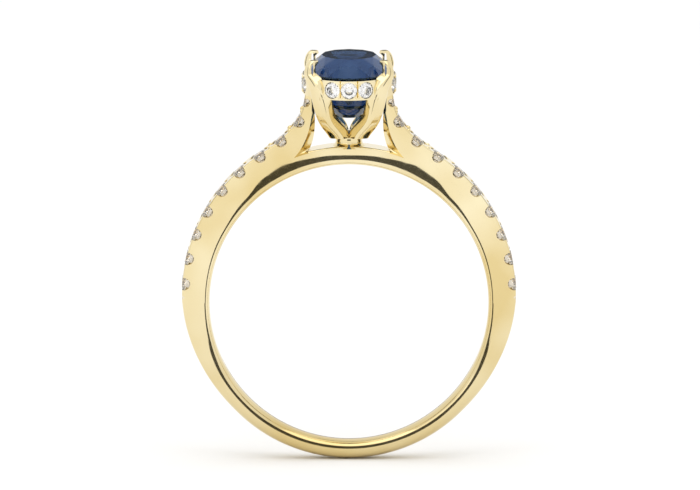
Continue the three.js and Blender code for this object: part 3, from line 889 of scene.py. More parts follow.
@dataclass
class Shank:
    """The plain lower half of the band, rounded under the finger."""

    sizes: RingSizes
    band: Band
    gold: bpy.types.Material
    taper_angle: float = 45.0
    taper_power: float = 1.4
    roundness: float = 2.35
    section_points: int = 64
    steps: int = 120

    def joint_reach(self, turn: float) -> float:
        """Distance from the middle of the joint's section to its edge, in a direction round it."""
        half_thick = self.sizes.joint_thickness / 2
        half_wide = self.sizes.shoulder_half_width
        rim = self.band.rim(0.0) if math.cos(turn) < 0 else self.band.edge_inset
        deep = self.band.rim_reach if math.cos(turn) < 0 else self.band.edge_inset
        across, along = abs(math.cos(turn)), abs(math.sin(turn))
        low, high = 0.0, half_thick + half_wide
        for _ in range(40):
            middle = (low + high) / 2
            u, v = across * middle, along * middle
            inside = u <= half_thick and v <= half_wide
            if inside and u > half_thick - rim and v > half_wide - deep:
                corner = ((u - half_thick + rim) / rim) ** 2 + ((v - half_wide + deep) / deep) ** 2
                inside = corner <= 1.0
            low, high = (middle, high) if inside else (low, middle)
        return low

    def base_reach(self, turn: float) -> float:
        """The same for the rounded section under the finger."""
        across = abs(math.cos(turn)) / (self.sizes.base_thickness / 2)
        along = abs(math.sin(turn)) / self.sizes.base_half_width
        return (across**self.roundness + along**self.roundness) ** (-1 / self.roundness)

    def build(self) -> None:
        """Spins a section round the finger, then tapers and rounds it."""
        clear_selection()
        sizes = self.sizes
        bpy.ops.mesh.primitive_circle_add(
            vertices=self.section_points, radius=0.5, fill_type="NGON",
            location=(sizes.finger_radius, 0, 0))
        obj = settle(named("plain_shank"))
        edit_all()
        bpy.ops.mesh.spin(steps=self.steps, angle=math.pi, center=(0, 0, 0), axis=(0, -1, 0))
        face_out()
        joint, base = {}, {}
        for vert in obj.data.vertices:
            degrees = abs(math.degrees(math.atan2(-vert.co.z, vert.co.x)))
            radius = math.hypot(vert.co.x, vert.co.z) - sizes.finger_radius
            turn = math.atan2(vert.co.y, radius)
            key = round(turn, 3)
            if key not in joint:
                joint[key], base[key] = self.joint_reach(turn), self.base_reach(turn)
            fall = max(0.0, 1 - min(degrees, 180 - degrees) / self.taper_angle)
            growth = sizes.joint_thickness - sizes.base_thickness
            thin = sizes.base_thickness + growth * fall**self.taper_power
            square = eased(fall)
            u_joint = math.cos(turn) * joint[key] / sizes.joint_thickness
            u_base = math.cos(turn) * base[key] / sizes.base_thickness
            wide = math.sin(turn) * (joint[key] * square + base[key] * (1 - square))
            up = (u_joint * square + u_base * (1 - square)) * thin
            spot = polar(sizes.finger_radius + thin / 2 + up, -degrees)
            vert.co = Vector((spot.x, wide, spot.y))
        shade(obj)
        deliver(obj, self.gold, ["shank"])


@dataclass
class Shoulders:
    """Both shoulders with their cut-down seats, beads and arches up to the halo."""

    sizes: RingSizes
    band: Band
    gold: bpy.types.Material
    seats: Sequence[StoneSeat]
    scallop_radius: float = 0.36
    scallop_sink: float = 0.1
    end_cut_radius: float = 0.085
    end_cut_in: float = 0.02
    end_cut_drop: float = 0.62
    proud: float = 0.08
    crown: float = 0.165
    rim_width: float = 0.03
    bead_radius: float = 0.12
    bead_side: float = 0.66
    bead_sink: float = 0.09

    def surface_spot(self, seat: StoneSeat) -> Vector:
        """The point of the metal's outer face above a stone."""
        return seat.place + seat.axis * (seat.diameter * self.crown - self.proud)

    def scallops(self) -> bpy.types.Object:
        """The round cuts through both walls beside each stone."""
        cuts = []
        for seat in self.seats:
            spot = self.surface_spot(seat) - seat.axis * self.scallop_sink
            radius = self.scallop_radius * seat.diameter / ROW_DIAMETER
            cuts.append(cross_pin("scallop", spot, radius, 40))
        last = self.surface_spot(self.seats[-1])
        foot = last - Vector((self.end_cut_in, 0.0, self.seats[-1].diameter * self.end_cut_drop))
        cuts.append(cross_pin("end_cut", foot, self.end_cut_radius, 16))
        return combine(cuts, "scallops")

    def pockets(self) -> bpy.types.Object:
        """The hole under each stone: a cone for the pavilion and a shaft above the girdle."""
        sunk = [seat.grown(1.0, -ROW_SINK) for seat in self.seats]
        return combine([aim(pocket(seat.diameter, ROW_PAVILION), seat) for seat in sunk], "pockets")

    def beads(self, side: Side) -> None:
        """Pairs of raised beads between neighbouring stones."""
        beads = []
        for upper, lower in zip(self.seats, self.seats[1:]):
            middle = (self.surface_spot(upper) + self.surface_spot(lower)) / 2
            up = (upper.axis + lower.axis).normalized()
            for across in (-1, 1):
                clear_selection()
                spot = middle + Vector((0.0, across * self.bead_side, 0.0)) - up * self.bead_sink
                bpy.ops.mesh.primitive_uv_sphere_add(
                    segments=20, ring_count=12, radius=self.bead_radius)
                bead = named("bead")
                bead.scale = (1.0, 1.25, 1.0)
                beads.append(aim(bead, StoneSeat(spot, up, 0.0)))
        joined = combine(beads, "beads")
        piece = mirrored(joined, f"shoulder_beads_{side.label}", (side.value, 1, 1))
        bpy.data.objects.remove(joined)
        shade(piece)
        deliver(piece, self.gold, [])

    def build(self) -> None:
        """Builds the right shoulder, cuts it, and mirrors it for the left."""
        bar = self.band.slab("shoulder_bar", self.band.shoulder_outline())
        carve(bar, self.scallops())
        carve(bar, self.pockets())
        soften(bar, self.rim_width)
        for side in Side:
            piece = mirrored(bar, f"cathedral_shoulder_{side.label}", (side.value, 1, 1))
            shade(piece)
            deliver(piece, self.gold, [f"shoulder_{side.label}"])
            self.beads(side)
        bpy.data.objects.remove(bar)


def cross_pin(name: str, spot: Vector, radius: float, sides: int) -> bpy.types.Object:
    """A round cutter through the band along the finger."""
    clear_selection()
    bpy.ops.mesh.primitive_cylinder_add(
        vertices=sides, radius=radius, depth=CUTTER_LENGTH, location=(spot.x, 0, spot.z),
        rotation=(math.pi / 2, 0, 0))
    return settle(named(name))


def pocket(diameter: float, pavilion: float) -> bpy.types.Object:
    """A cutter for one stone's seat, made along +Z with the girdle at the origin.

    Args:
        diameter: The stone's diameter.
        pavilion: Depth of its pavilion as a share of the diameter.

    Returns:
        The cutter.
    """
    clear_selection()
    depth = diameter * (pavilion + GIRDLE_SHARE)
    bpy.ops.mesh.primitive_cone_add(
        vertices=48, radius1=0.02, radius2=diameter / 2 + SEAT_GAP, depth=depth,
        location=(0, 0, -depth / 2 - diameter * GIRDLE_SHARE / 2))
    cutter = settle(named("pocket"))
    bpy.ops.object.mode_set(mode="EDIT")
    bpy.ops.mesh.select_all(action="DESELECT")
    mesh = bmesh.from_edit_mesh(cutter.data)
    top = max(vert.co.z for vert in mesh.verts)
    for face in mesh.faces:
        face.select = all(abs(vert.co.z - top) < 1e-5 for vert in face.verts)
    bmesh.update_edit_mesh(cutter.data)
    bpy.ops.mesh.extrude_region_move(TRANSFORM_OT_translate={"value": (0, 0, diameter)})
    face_out()
    return cutter


# ----------------------------------------------------------------------------------------------------
# Head: bridge, collet, claws and halo collar
# ----------------------------------------------------------------------------------------------------


@dataclass
class Mount:
    """The bridge across the band and the round collet on it."""

    sizes: RingSizes
    band: Band
    gold: bpy.types.Material
    lathe_steps: int = 64
    flare: float = 1.06
    collet_profile: tuple[tuple[float, float], ...] = (
        (-0.3, 0.3), (-0.08, 0.2), (0.08, 0.1), (0.2, 0.05), (0.4, 0.02), (0.6, 0.02), (0.75, 0.035),
        (0.9, 0.05), (1.02, 0.035), (1.15, -0.03), (1.35, -0.2), (1.6, -0.42), (1.75, -0.6))

    def build_bridge(self) -> None:
        """Builds the bridge bar."""
        piece = self.band.slab("head_bridge", self.band.bridge_outline())
        shade(piece)
        deliver(piece, self.gold, ["bridge"])

    def build_collet(self) -> None:
        """Turns the collet from a disc, with a waist and a rolled upper rim."""
        sizes = self.sizes
        height = sizes.collet_top - sizes.bridge_top
        waist = sizes.collet_radius / self.flare
        piece = loft("head_collet", [
            circle(waist + out, sizes.bridge_top + height * up, self.lathe_steps)
            for up, out in self.collet_profile])
        shade(piece)
        deliver(piece, self.gold, ["collet"])


@dataclass(frozen=True)
class Station:
    """One section of a claw."""

    centre: Vector
    outward: Vector
    width: float
    thickness: float
    square: float


@dataclass
class Claws:
    """Four split claws that rise from the collet, cross the halo and grip the sapphire."""

    sizes: RingSizes
    gold: bpy.types.Material
    claw_angle: float = 36.9
    claw_width: float = 0.62
    claw_thickness: float = 0.56
    bearing_gap: float = BEARING_GAP
    leg_width: float = 0.9
    leg_thickness: float = 0.85
    leg_square: float = 4.0
    collar_angle: float = 46.0
    collar_width: float = 1.25
    collar_thickness: float = 0.8
    collar_proud: float = 0.28
    collar_square: float = 4.5
    tip_drop: float = 0.06
    slot_width: float = 0.13
    slot_length: float = 1.6
    slot_blade: float = 0.15
    slot_height: float = 0.74
    slot_rise: float = 0.12
    slot_shift: float = 0.05
    rim_width: float = 0.03
    leg_sections: Sections = ((0.18, -0.15, 0.95), (0.345, 0.13, 1.14), (0.68, 0.5, 1.04))
    crossing_sections: Sections = ((0.9, 0.0, 1.0), (1.0, 0.55, 0.86))
    steps: int = 44
    section_points: int = 40

    def foot(self) -> tuple[Vector, Vector]:
        """Where the claw crosses the girdle, and the direction it faces."""
        sizes = self.sizes
        angle = math.radians(self.claw_angle)
        wide, long = sizes.stone_half_width, sizes.stone_half_length
        place = Vector((wide * math.cos(angle), long * math.sin(angle), sizes.girdle_z))
        return place, Vector((math.cos(angle) / wide, math.sin(angle) / long, 0.0)).normalized()

    def stations(self) -> list[Station]:
        """Sections up the claw in the back right quarter."""
        sizes = self.sizes
        place, outward = self.foot()
        angle = math.radians(self.collar_angle)
        wide, long = sizes.collar_half_width, sizes.collar_half_length
        crossing = Vector((wide * math.cos(angle), long * math.sin(angle), 0.0))
        across = Vector((math.cos(angle) / wide, math.sin(angle) / long, 0.0)).normalized()
        corner = crossing + across * (self.collar_proud - self.collar_thickness / 2)
        leg_out = crossing.normalized()
        rise = sizes.collar_bottom - sizes.collet_top
        height = sizes.collar_top - sizes.collar_bottom
        crown = sizes.table_z - sizes.girdle_z
        half = self.bearing_gap + self.claw_thickness / 2
        stations = []
        for share, up, scale in self.leg_sections:
            spot = crossing * share
            spot.z = sizes.collet_top + rise * up
            stations.append(Station(
                spot, leg_out, self.leg_width * scale, self.leg_thickness * scale, self.leg_square))
        for share, up, scale in self.crossing_sections:
            spot = corner * share
            spot.z = sizes.collar_bottom + height * up
            stations.append(Station(
                spot, across, self.collar_width * scale, self.collar_thickness, self.collar_square))
        for z, offset, scale, square in (
            (sizes.girdle_z + crown * 0.08, half, 1.12, 4.0),
            (sizes.girdle_z + crown * 0.5, half, 0.98, 3.4),
            (sizes.table_z - crown * 0.28, half * 0.7, 0.88, 2.8),
            (sizes.table_z - crown * 0.1, -half * 0.35, 0.55, 2.4),
        ):
            spot = place + outward * offset
            spot.z = z
            stations.append(Station(
                spot, outward, self.claw_width * scale, self.claw_thickness * scale, square))
        return stations

    def skin(self) -> bpy.types.Object:
        """Lofts the claw in the back right quarter."""
        stations = self.stations()
        path = smooth_path([s.centre for s in stations], self.steps)
        rings: list[Ring] = []
        for i in range(self.steps + 1):
            position = i / self.steps * (len(stations) - 1)
            low = min(int(position), len(stations) - 2)
            mix = position - low
            mix = eased(mix) * 0.6 + mix * 0.4
            below, above = stations[low], stations[low + 1]
            tangent = (path[min(i + 1, self.steps)] - path[max(i - 1, 0)]).normalized()
            outward = below.outward.lerp(above.outward, mix)
            side = Vector((-outward.y, outward.x, 0.0))
            side = (side - tangent * side.dot(tangent)).normalized()
            front = tangent.cross(side)
            width = below.width + (above.width - below.width) * mix
            depth = below.thickness + (above.thickness - below.thickness) * mix
            power = 2.0 / (below.square + (above.square - below.square) * mix)
            ring = []
            for j in range(self.section_points):
                turn = 2 * math.pi * (j + 0.5) / self.section_points
                u = math.copysign(abs(math.cos(turn)) ** power, math.cos(turn))
                v = math.copysign(abs(math.sin(turn)) ** power, math.sin(turn))
                ring.append(path[i] + side * (u * width / 2) + front * (v * depth / 2))
            rings.append(ring)
        return loft("claw_skin", rings)

    def slot(self) -> bpy.types.Object:
        """The pointed slit that splits a claw beside the sapphire."""
        place, outward = self.foot()
        offset = self.bearing_gap + self.slot_blade + self.slot_width / 2
        clear_selection()
        bpy.ops.mesh.primitive_cylinder_add(
            vertices=32, radius=0.5, depth=self.slot_length, rotation=(math.pi / 2, 0, 0))
        cutter = settle(named("slit"))
        cutter.scale = (self.slot_width, 1.0, self.slot_height)
        cutter.location = (
            place.x + outward.x * offset - self.slot_shift, place.y,
            place.z + self.slot_rise + self.slot_height / 2)
        return settle(cutter)

    def build(self, room: bpy.types.Object) -> None:
        """Cuts the claw to shape and mirrors it into the four quarters.

        Args:
            room: The sapphire with its gap, which is cut out of every claw.
        """
        sizes = self.sizes
        claw = self.skin()
        bpy.ops.object.mode_set(mode="EDIT")
        slice_off(Vector(), Vector((-1, 0, 0)))
        slice_off(Vector(), Vector((0, -1, 0)))
        slice_off(Vector((0.0, 0.0, sizes.collet_top)), Vector((0, 0, -1)))
        slice_off(Vector((0.0, 0.0, sizes.table_z - self.tip_drop)), Vector((0, 0, 1)))
        bpy.ops.object.mode_set(mode="OBJECT")
        carve(claw, room, keep_cutter=True)
        carve(claw, self.slot())
        soften(claw, self.rim_width)
        for quarter in Quarter:
            x, y = quarter.value
            name = f"split_claw_{quarter.label}"
            piece = mirrored(claw, name, (x, y, 1))
            shade(piece)
            deliver(piece, self.gold, [f"claw_{quarter.label}"])
        bpy.data.objects.remove(claw)


def smooth_path(points: Sequence[Vector], steps: int) -> list[Vector]:
    """Points along a centripetal curve through a row of points.

    Args:
        points: The points the curve goes through.
        steps: Number of steps, spread evenly over the points' numbers.

    Returns:
        The curve's points.
    """
    padded = [points[0] * 2 - points[1], *points, points[-1] * 2 - points[-2]]
    path = []
    for i in range(steps + 1):
        position = i / steps * (len(points) - 1)
        low = min(int(position), len(points) - 2)
        t = position - low
        p0, p1, p2, p3 = padded[low : low + 4]
        d1, d2, d3 = ((b - a).length ** 0.5 for a, b in ((p0, p1), (p1, p2), (p2, p3)))
        m1 = ((p1 - p0) / d1 - (p2 - p0) / (d1 + d2) + (p2 - p1) / d2) * d2
        m2 = ((p2 - p1) / d2 - (p3 - p1) / (d2 + d3) + (p3 - p2) / d3) * d2
        path.append(
            p1 * (2 * t**3 - 3 * t**2 + 1) + m1 * (t**3 - 2 * t**2 + t)
            + p2 * (-2 * t**3 + 3 * t**2) + m2 * (t**3 - t**2))
    return path


@dataclass
class HaloCollar:
    """The collar under the girdle, cut into four arcs by the claws, with its grooves and beads."""

    sizes: RingSizes
    gold: bpy.types.Material
    seats: dict[Arc, list[StoneSeat]]
    wall_steps: int = 128
    groove_width: float = 0.07
    groove_depth: float = 0.12
    groove_spread: float = 1.4
    groove_share: float = 0.86
    groove_rise: float = 0.07
    bead_radius: float = 0.07
    bead_side: float = 0.075
    bead_up: float = 0.42
    rim_width: float = 0.025

    def ring(self, room: bpy.types.Object) -> bpy.types.Object:
        """The whole collar before it is cut into arcs."""
        sizes = self.sizes
        clear_selection()
        height = sizes.collar_top - sizes.collar_bottom
        bpy.ops.mesh.primitive_cylinder_add(
            vertices=self.wall_steps, radius=1.0, depth=height,
            location=(0, 0, (sizes.collar_top + sizes.collar_bottom) / 2))
        wall = named("collar_wall")
        wall.scale = (sizes.collar_half_width, sizes.collar_half_length, 1.0)
        settle(wall)
        return carve(wall, room, keep_cutter=True)

    def gaps(self, arc: Arc) -> list[tuple[Vector, Vector]]:
        """Middle and outward direction of the metal between neighbouring stones of an arc."""
        wide, long = self.sizes.collar_half_width, self.sizes.collar_half_length
        found = []
        for one, other in zip(self.seats[arc], self.seats[arc][1:]):
            middle = (one.place + other.place) / 2
            angle = math.atan2(middle.y / long, middle.x / wide)
            spot = Vector((wide * math.cos(angle), long * math.sin(angle), middle.z))
            found.append((spot, (one.axis + other.axis).normalized()))
        return found

    def groove(self, spot: Vector, out: Vector) -> bpy.types.Object:
        """An upright cut between two stones."""
        clear_selection()
        wall = self.sizes.collar_top - self.sizes.collar_bottom
        bpy.ops.mesh.primitive_cylinder_add(
            vertices=4, radius=self.groove_depth, depth=wall * self.groove_share)
        cutter = settle(named("groove"))
        cutter.scale = (1.0, self.groove_width / (2 * self.groove_depth) * self.groove_spread, 1.0)
        cutter.rotation_euler = (0, 0, math.atan2(out.y, out.x))
        cutter.location = spot + Vector((0.0, 0.0, wall * self.groove_rise))
        return settle(cutter)

    def beads(self, arc: Arc) -> None:
        """Small beads at the four corners between neighbouring stones."""
        beads = []
        for spot, out in self.gaps(arc):
            side = Vector((-out.y, out.x, 0.0))
            for up in (-1, 1):
                for across in (-1, 1):
                    clear_selection()
                    bpy.ops.mesh.primitive_uv_sphere_add(
                        segments=16, ring_count=10, radius=self.bead_radius)
                    bead = named("halo_bead")
                    rise = Vector((0.0, 0.0, up * self.bead_up))
                    bead.location = spot + side * across * self.bead_side + rise
                    beads.append(settle(bead))
        piece = combine(beads, f"halo_beads_{arc.label}")
        shade(piece)
        deliver(piece, self.gold, [])

    def build(self, room: bpy.types.Object, corner: Vector) -> None:
        """Cuts the collar into arcs and each arc's seats and grooves.

        Args:
            room: The sapphire with its gap.
            corner: The middle of a claw where it crosses the collar.
        """
        whole = self.ring(room)
        for arc in Arc:
            middle = math.radians(arc.value)
            forward = Vector((round(math.cos(middle)), round(math.sin(middle)), 0.0))
            piece = twin(whole, f"hidden_halo_{arc.label}")
            take(piece)
            bpy.ops.object.mode_set(mode="EDIT")
            for turn in (-1, 1):
                edge = Vector((
                    corner.x * (forward.x or -turn * forward.y),
                    corner.y * (forward.y or turn * forward.x), 0.0))
                normal = Vector((-edge.y, edge.x, 0.0)) * turn
                slice_off(Vector(), normal)
            bpy.ops.object.mode_set(mode="OBJECT")
            cuts = [aim(pocket(s.diameter, HALO_PAVILION), s) for s in self.seats[arc]]
            carve(piece, combine(cuts, "halo_pockets"))
            carve(piece, combine([self.groove(*gap) for gap in self.gaps(arc)], "grooves"))
            soften(piece, self.rim_width)
            shade(piece)
            deliver(piece, self.gold, [f"halo_collar_{arc.label}"])
            self.beads(arc)
        bpy.data.objects.remove(whole)


# ----------------------------------------------------------------------------------------------------
# Stones
# ----------------------------------------------------------------------------------------------------


@dataclass(frozen=True)
class CutPlan:
    """Facets of a brilliant crown over a pavilion, for a stone with a girdle radius of 1."""

    symmetry: int
    table: float
    crown: float
    star_tip: float
    girdle: float
    pavilion: float
    lower_tip: float
    tiers: tuple[tuple[float, float, float, float, int, float], ...] = ()

    def spot(self, radius: float, turn: float, height: float) -> Vector:
        """A point at a radius and a number of half-facets round the stone."""
        angle = math.pi * turn / self.symmetry
        return Vector((radius * math.cos(angle), radius * math.sin(angle), height))

    def ridge(self, radius: float, inner: float, rise: float) -> float:
        """Height share of the ridge between two main facets at a radius."""
        return rise * (1 - radius * math.cos(math.pi / self.symmetry)) / (1 - inner)

    def crown_planes(self) -> list[tuple[Vector, Vector]]:
        """Main, star and upper girdle facets as points and outward normals."""
        top, base = self.girdle / 2 + self.crown, self.girdle / 2
        tip = base + self.ridge(self.star_tip, self.table, self.crown)
        planes = [(Vector((0, 0, top)), Vector((0, 0, 1)))]
        for k in range(self.symmetry):
            turn = 2 * k
            main = self.spot(1, turn, base)
            side = self.spot(1, turn + self.symmetry / 2, 0)
            planes.append(facet(main, main + side, self.spot(self.table, turn, top)))
            star = self.spot(self.star_tip, turn + 1, tip)
            near, far = (self.spot(self.table, turn + step, top) for step in (0, 2))
            planes.append(facet(star, near, far))
            middle = self.spot(1, turn + 1, base)
            planes.append(facet(star, main, middle))
            planes.append(facet(star, middle, self.spot(1, turn + 2, base)))
        return planes

    def pavilion_planes(self) -> list[tuple[Vector, Vector]]:
        """Pavilion facets as points and outward normals."""
        base = -self.girdle / 2
        planes = []
        for low_radius, low_depth, high_radius, high_depth, count, phase in self.tiers:
            shrink = math.cos(math.pi / count)
            for k in range(count):
                angle = 2 * math.pi * (k + phase) / count
                out = Vector((math.cos(angle), math.sin(angle), 0.0))
                side = Vector((-out.y, out.x, 0.0))
                high = out * high_radius * shrink + Vector((0, 0, base - high_depth))
                low = out * low_radius * shrink + Vector((0, 0, base - low_depth))
                planes.append(facet(high, high + side, low))
        if self.tiers:
            planes.append((Vector((0, 0, base - self.pavilion)), Vector((0, 0, -1))))
            return planes
        for k in range(self.symmetry):
            turn = 2 * k
            main = self.spot(1, turn, base)
            side = self.spot(1, turn + self.symmetry / 2, 0)
            planes.append(facet(main, main + side, Vector((0, 0, base - self.pavilion))))
            depth = base - self.ridge(self.lower_tip, 0.0, self.pavilion)
            tip = self.spot(self.lower_tip, turn + 1, depth)
            middle = self.spot(1, turn + 1, base)
            planes.append(facet(tip, main, middle))
            planes.append(facet(tip, middle, self.spot(1, turn + 2, base)))
        return planes

    def cut(self, name: str, round_steps: int) -> bpy.types.Object:
        """Cuts a stone from a round blank, one facet at a time.

        Args:
            name: Name of the stone.
            round_steps: Sides of the blank, which show along the girdle.

        Returns:
            The faceted stone, with its girdle at the origin and its table towards +Z.
        """
        clear_selection()
        bpy.ops.mesh.primitive_cylinder_add(vertices=round_steps, radius=1.0, depth=8.0)
        stone = named(name)
        bpy.ops.object.mode_set(mode="EDIT")
        for spot, normal in self.crown_planes() + self.pavilion_planes():
            slice_off(spot, normal)
        bpy.ops.mesh.select_all(action="SELECT")
        bpy.ops.mesh.remove_doubles(threshold=1e-4)
        face_out()
        return stone


def facet(a: Vector, b: Vector, c: Vector) -> tuple[Vector, Vector]:
    """A plane through three points, with its normal away from the middle of the stone."""
    normal = (b - a).cross(c - a).normalized()
    return a, normal if normal.dot(a) > 0 else -normal


ROW_CUT = CutPlan(8, 0.57, 0.30, 0.763, 0.06, 0.82, 0.24)
HALO_CUT = CutPlan(8, 0.57, 0.30, 0.763, 0.06, 0.72, 0.24)


@dataclass
class SmallDiamonds:
    """The diamonds of the shoulders and the halo, each a copy of one cut stone."""

    diamond: bpy.types.Material

    def set_stones(self, plan: CutPlan, stones: dict[str, StoneSeat], prefix: str) -> None:
        """Cuts one stone and sets a copy in every seat.

        Args:
            plan: The stones' facets.
            stones: Seats by the name of the solid that each stone stands for.
            prefix: What the copies' names add in front of the solid's name.
        """
        master = plan.cut("cut_stone", 64)
        for node, seat in stones.items():
            copy = twin(master, f"{prefix}_{node}")
            copy.scale = (seat.diameter / 2,) * 3
            aim(copy, seat)
            shade(copy, flat=True)
            deliver(copy, self.diamond, [node])
        bpy.data.objects.remove(master)


@dataclass
class Sapphire:
    """The oval mixed-cut centre stone: a brilliant crown over three steps and a small flat culet."""

    sizes: RingSizes
    finish: bpy.types.Material
    table: float = 0.65
    star_tip: float = 0.83
    girdle: float = 0.1
    steps: tuple[tuple[float, float], ...] = ((0.86, 0.38), (0.62, 0.73), (0.32, 1.0))
    room_steps: int = 128

    def plan(self) -> CutPlan:
        """The facets, with heights as millimetres over the unit outline."""
        depth = self.sizes.girdle_z - self.sizes.culet_z
        crown = self.sizes.table_z - self.sizes.girdle_z - self.girdle
        (r1, d1), (r2, d2), (r3, d3) = self.steps
        tiers = (
            (r1, d1 * depth, 1.0, 0.0, 32, 0.5),
            (r2, d2 * depth, r1 * 1.01, d1 * depth, 16, 0.0),
            (r3, d3 * depth, r2 * 1.02, d2 * depth, 16, 0.5),
        )
        return CutPlan(12, self.table, crown, self.star_tip, self.girdle, depth, 0.0, tiers)

    def place(self, stone: bpy.types.Object, gap: float) -> bpy.types.Object:
        """Draws a round stone out to the oval and puts it on its girdle line."""
        stone.scale = (self.sizes.stone_half_width + gap, self.sizes.stone_half_length + gap, 1.0)
        stone.location = (0, 0, self.sizes.girdle_z + self.girdle / 2)
        return settle(stone)

    def room(self, gap: float) -> bpy.types.Object:
        """A smooth-sided oval that clears the stone, for cutting its bearing."""
        depth = self.sizes.girdle_z - self.sizes.culet_z
        crown = self.sizes.table_z - self.sizes.girdle_z - self.girdle
        half = self.girdle / 2
        levels = [(share, -half - depth * down - gap) for share, down in reversed(self.steps)]
        levels += [(1.0, -half - gap), (1.0, half + gap)]
        levels += [(0.86, half + crown * 0.52 + gap), (self.table, half + crown + gap)]
        rings = [circle(share, z, self.room_steps) for share, z in levels]
        return self.place(loft("stone_room", rings), gap)

    def build(self) -> None:
        """Cuts and places the stone."""
        stone = self.place(self.plan().cut("oval_sapphire", 96), 0.0)
        shade(stone, flat=True)
        deliver(stone, self.finish, ["sapphire"])


# ----------------------------------------------------------------------------------------------------
# Studio
# ----------------------------------------------------------------------------------------------------


@dataclass(frozen=True)
class Card:
    """A flat board near the ring, seen only in its polish."""

    name: str
    centre: tuple[float, float, float]
    size: tuple[float, float]
    facing: tuple[float, float, float]
    tone: float


@dataclass
class Studio:
    """White surroundings, soft lights, boards that give the polish its dark lines, and the camera."""

    elevation: float = 8.5
    azimuth: float = 0.0
    lens: float = 1000.0
    frame_width: float = 41.42
    aim_x: float = 0.06
    aim_up: float = 3.31
    sky: float = 1.0
    boards: Sequence[Card] = field(default_factory=lambda: (
        Card("lower_front_board", (0.0, -15.0, -1.5), (8.0, 11.4), (0, 1, 0), 0.09),
        Card("low_back_board", (0.0, 15.0, -6.4), (14.0, 2.6), (0, -1, 0), 0.45),
        Card("high_back_board", (0.0, 15.0, 16.95), (10.0, 2.6), (0, -1, 0), 0.1),
        Card("left_board", (-14.5, -2.0, 13.0), (3.6, 9.0), (14.5, 2, 0), 0.2),
        Card("right_board", (14.5, -2.0, 13.0), (3.6, 9.0), (-14.5, 2, 0), 0.2),
    ))

    def world(self) -> None:
        """Even white light from all round."""
        world = bpy.data.worlds.new("white_studio")
        bpy.context.scene.world = world
        world.use_nodes = True
        background = world.node_tree.nodes["Background"]
        background.inputs["Color"].default_value = (1.0, 0.995, 0.985, 1.0)
        background.inputs["Strength"].default_value = self.sky

    def floor(self) -> None:
        """A wide pale floor under the ring."""
        clear_selection()
        bpy.ops.mesh.primitive_plane_add(size=6.0, location=(0, 0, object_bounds()[0].z - 0.00002))
        floor = named("studio_floor")
        floor.data.materials.append(PaleFloor().material())
        floor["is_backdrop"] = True

    def board(self, card: Card) -> None:
        """Stands up one board."""
        clear_selection()
        bpy.ops.mesh.primitive_plane_add(size=1.0)
        board = named(card.name)
        board.scale = (card.size[0] * MM, card.size[1] * MM, 1.0)
        turn_to(board, Vector(card.facing))
        board.location = Vector(card.centre) * MM
        nodes = Nodes(card.name)
        paint = nodes.add("ShaderNodeBsdfDiffuse")
        paint.inputs["Color"].default_value = (card.tone, card.tone, card.tone * 0.95, 1.0)
        nodes.link(paint.outputs["BSDF"], nodes.output.inputs["Surface"])
        board.data.materials.append(nodes.material)
        board.visible_camera = False
        board.visible_diffuse = False
        board.visible_shadow = False
        board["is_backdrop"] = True

    def softbox(
        self, name: str, place: tuple[float, float, float], size: float, power: float
    ) -> None:
        """Hangs a square soft light that faces the ring, in metres and watts."""
        light = bpy.data.lights.new(name, "AREA")
        light.shape = "SQUARE"
        light.size = size
        light.energy = power
        lamp = bpy.data.objects.new(name, light)
        bpy.context.scene.collection.objects.link(lamp)
        lamp.location = place
        turn_to(lamp, -Vector(place), "-Z")

    def camera(self) -> None:
        """Sets up a long lens a little above the ring."""
        data = bpy.data.cameras.new("studio_camera")
        data.sensor_width = 36.0
        data.lens = self.lens
        up, turn = math.radians(self.elevation), math.radians(self.azimuth)
        back = Vector((math.sin(turn) * math.cos(up), -math.cos(turn) * math.cos(up), math.sin(up)))
        distance = self.frame_width * self.lens / data.sensor_width
        target = Vector((self.aim_x, 0.0, self.aim_up / math.cos(up)))
        camera = bpy.data.objects.new("studio_camera", data)
        bpy.context.scene.collection.objects.link(camera)
        camera.location = (target + back * distance) * MM
        turn_to(camera, -back, "-Z")
        data.clip_start, data.clip_end = 0.01, 20.0
        bpy.context.scene.camera = camera

    def build(self) -> None:
        """Builds the whole studio."""
        self.world()
        self.floor()
        for card in self.boards:
            self.board(card)
        self.softbox("overhead_soft_light", (0.0, -0.12, 0.45), 0.5, 0.6)
        self.softbox("front_soft_light", (-0.25, -0.35, 0.25), 0.3, 0.1)
        self.camera()
        bpy.context.scene.view_settings.view_transform = "Standard"


# ----------------------------------------------------------------------------------------------------
# The whole ring
# ----------------------------------------------------------------------------------------------------


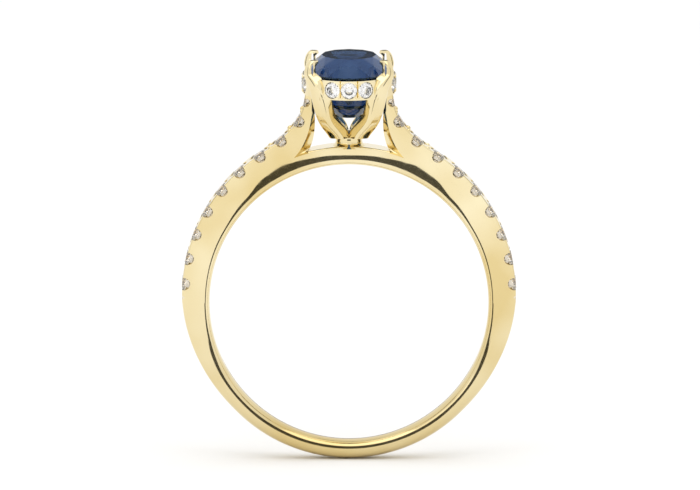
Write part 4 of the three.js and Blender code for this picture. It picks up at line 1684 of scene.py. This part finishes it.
def main() -> None:
    """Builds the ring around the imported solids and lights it."""
    logging.basicConfig(level=logging.INFO, format="%(name)s %(message)s")
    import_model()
    clear_selection()
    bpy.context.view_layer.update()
    sizes = RingSizes.from_frame()
    LOG.info("finger hole %.2f mm, bridge top %.2f mm", 2 * sizes.finger_radius, sizes.bridge_top)
    gold = PolishedGold().material()
    diamond = Gem("white_diamond", (0.99, 0.985, 0.98, 1.0), 2.42).material()
    # The shoulder diamonds are tinted warm: a painted reflection of the gold pockets round them.
    painted_reflection_diamond = Gem("gold_backed_diamond", (0.97, 0.9, 0.78, 1.0), 2.42, gloss=0.4).material()
    blue = Gem(
        "dark_blue_sapphire", tint=(0.36, 0.53, 0.8, 1.0), refraction=1.77,
        body=(0.16, 0.35, 0.58, 1.0), density=700.0, gloss=0.5, sheen=(0.24, 0.36, 0.5, 1.0),
        haze=(0.03, 0.075, 0.15, 1.0), haze_share=0.16).material()

    numbers = range(1, ROW_STONES + 1)
    right_row = seats_of([f"shoulder_diamond_right_{i:02d}" for i in numbers], ROW_PAVILION, 1.0, 0.0)
    row = seats_of(
        [f"shoulder_diamond_{side.label}_{i:02d}" for side in Side for i in numbers],
        ROW_PAVILION, 1.0, -ROW_SINK)
    halo = {
        arc: seats_of(
            [f"halo_diamond_{arc.label}_{i}" for i in range(1, HALO_STONES + 1)],
            HALO_PAVILION, HALO_GROWTH, HALO_LIFT)
        for arc in Arc}

    band = Band(sizes)
    Shank(sizes, band, gold).build()
    Shoulders(sizes, band, gold, list(right_row.values())).build()
    mount = Mount(sizes, band, gold)
    mount.build_bridge()
    mount.build_collet()
    stone = Sapphire(sizes, blue)
    room = stone.room(BEARING_GAP)
    claws = Claws(sizes, gold)
    claws.build(room)
    corner = claws.stations()[4].centre
    halo_seats = {arc: list(stones.values()) for arc, stones in halo.items()}
    HaloCollar(sizes, gold, halo_seats).build(room, corner)
    bpy.data.objects.remove(room)
    stone.build()
    SmallDiamonds(painted_reflection_diamond).set_stones(ROW_CUT, row, "brilliant")
    for stones in halo.values():
        SmallDiamonds(diamond).set_stones(HALO_CUT, stones, "brilliant")
    Studio().build()
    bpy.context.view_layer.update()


if __name__ == "__main__":
    main()
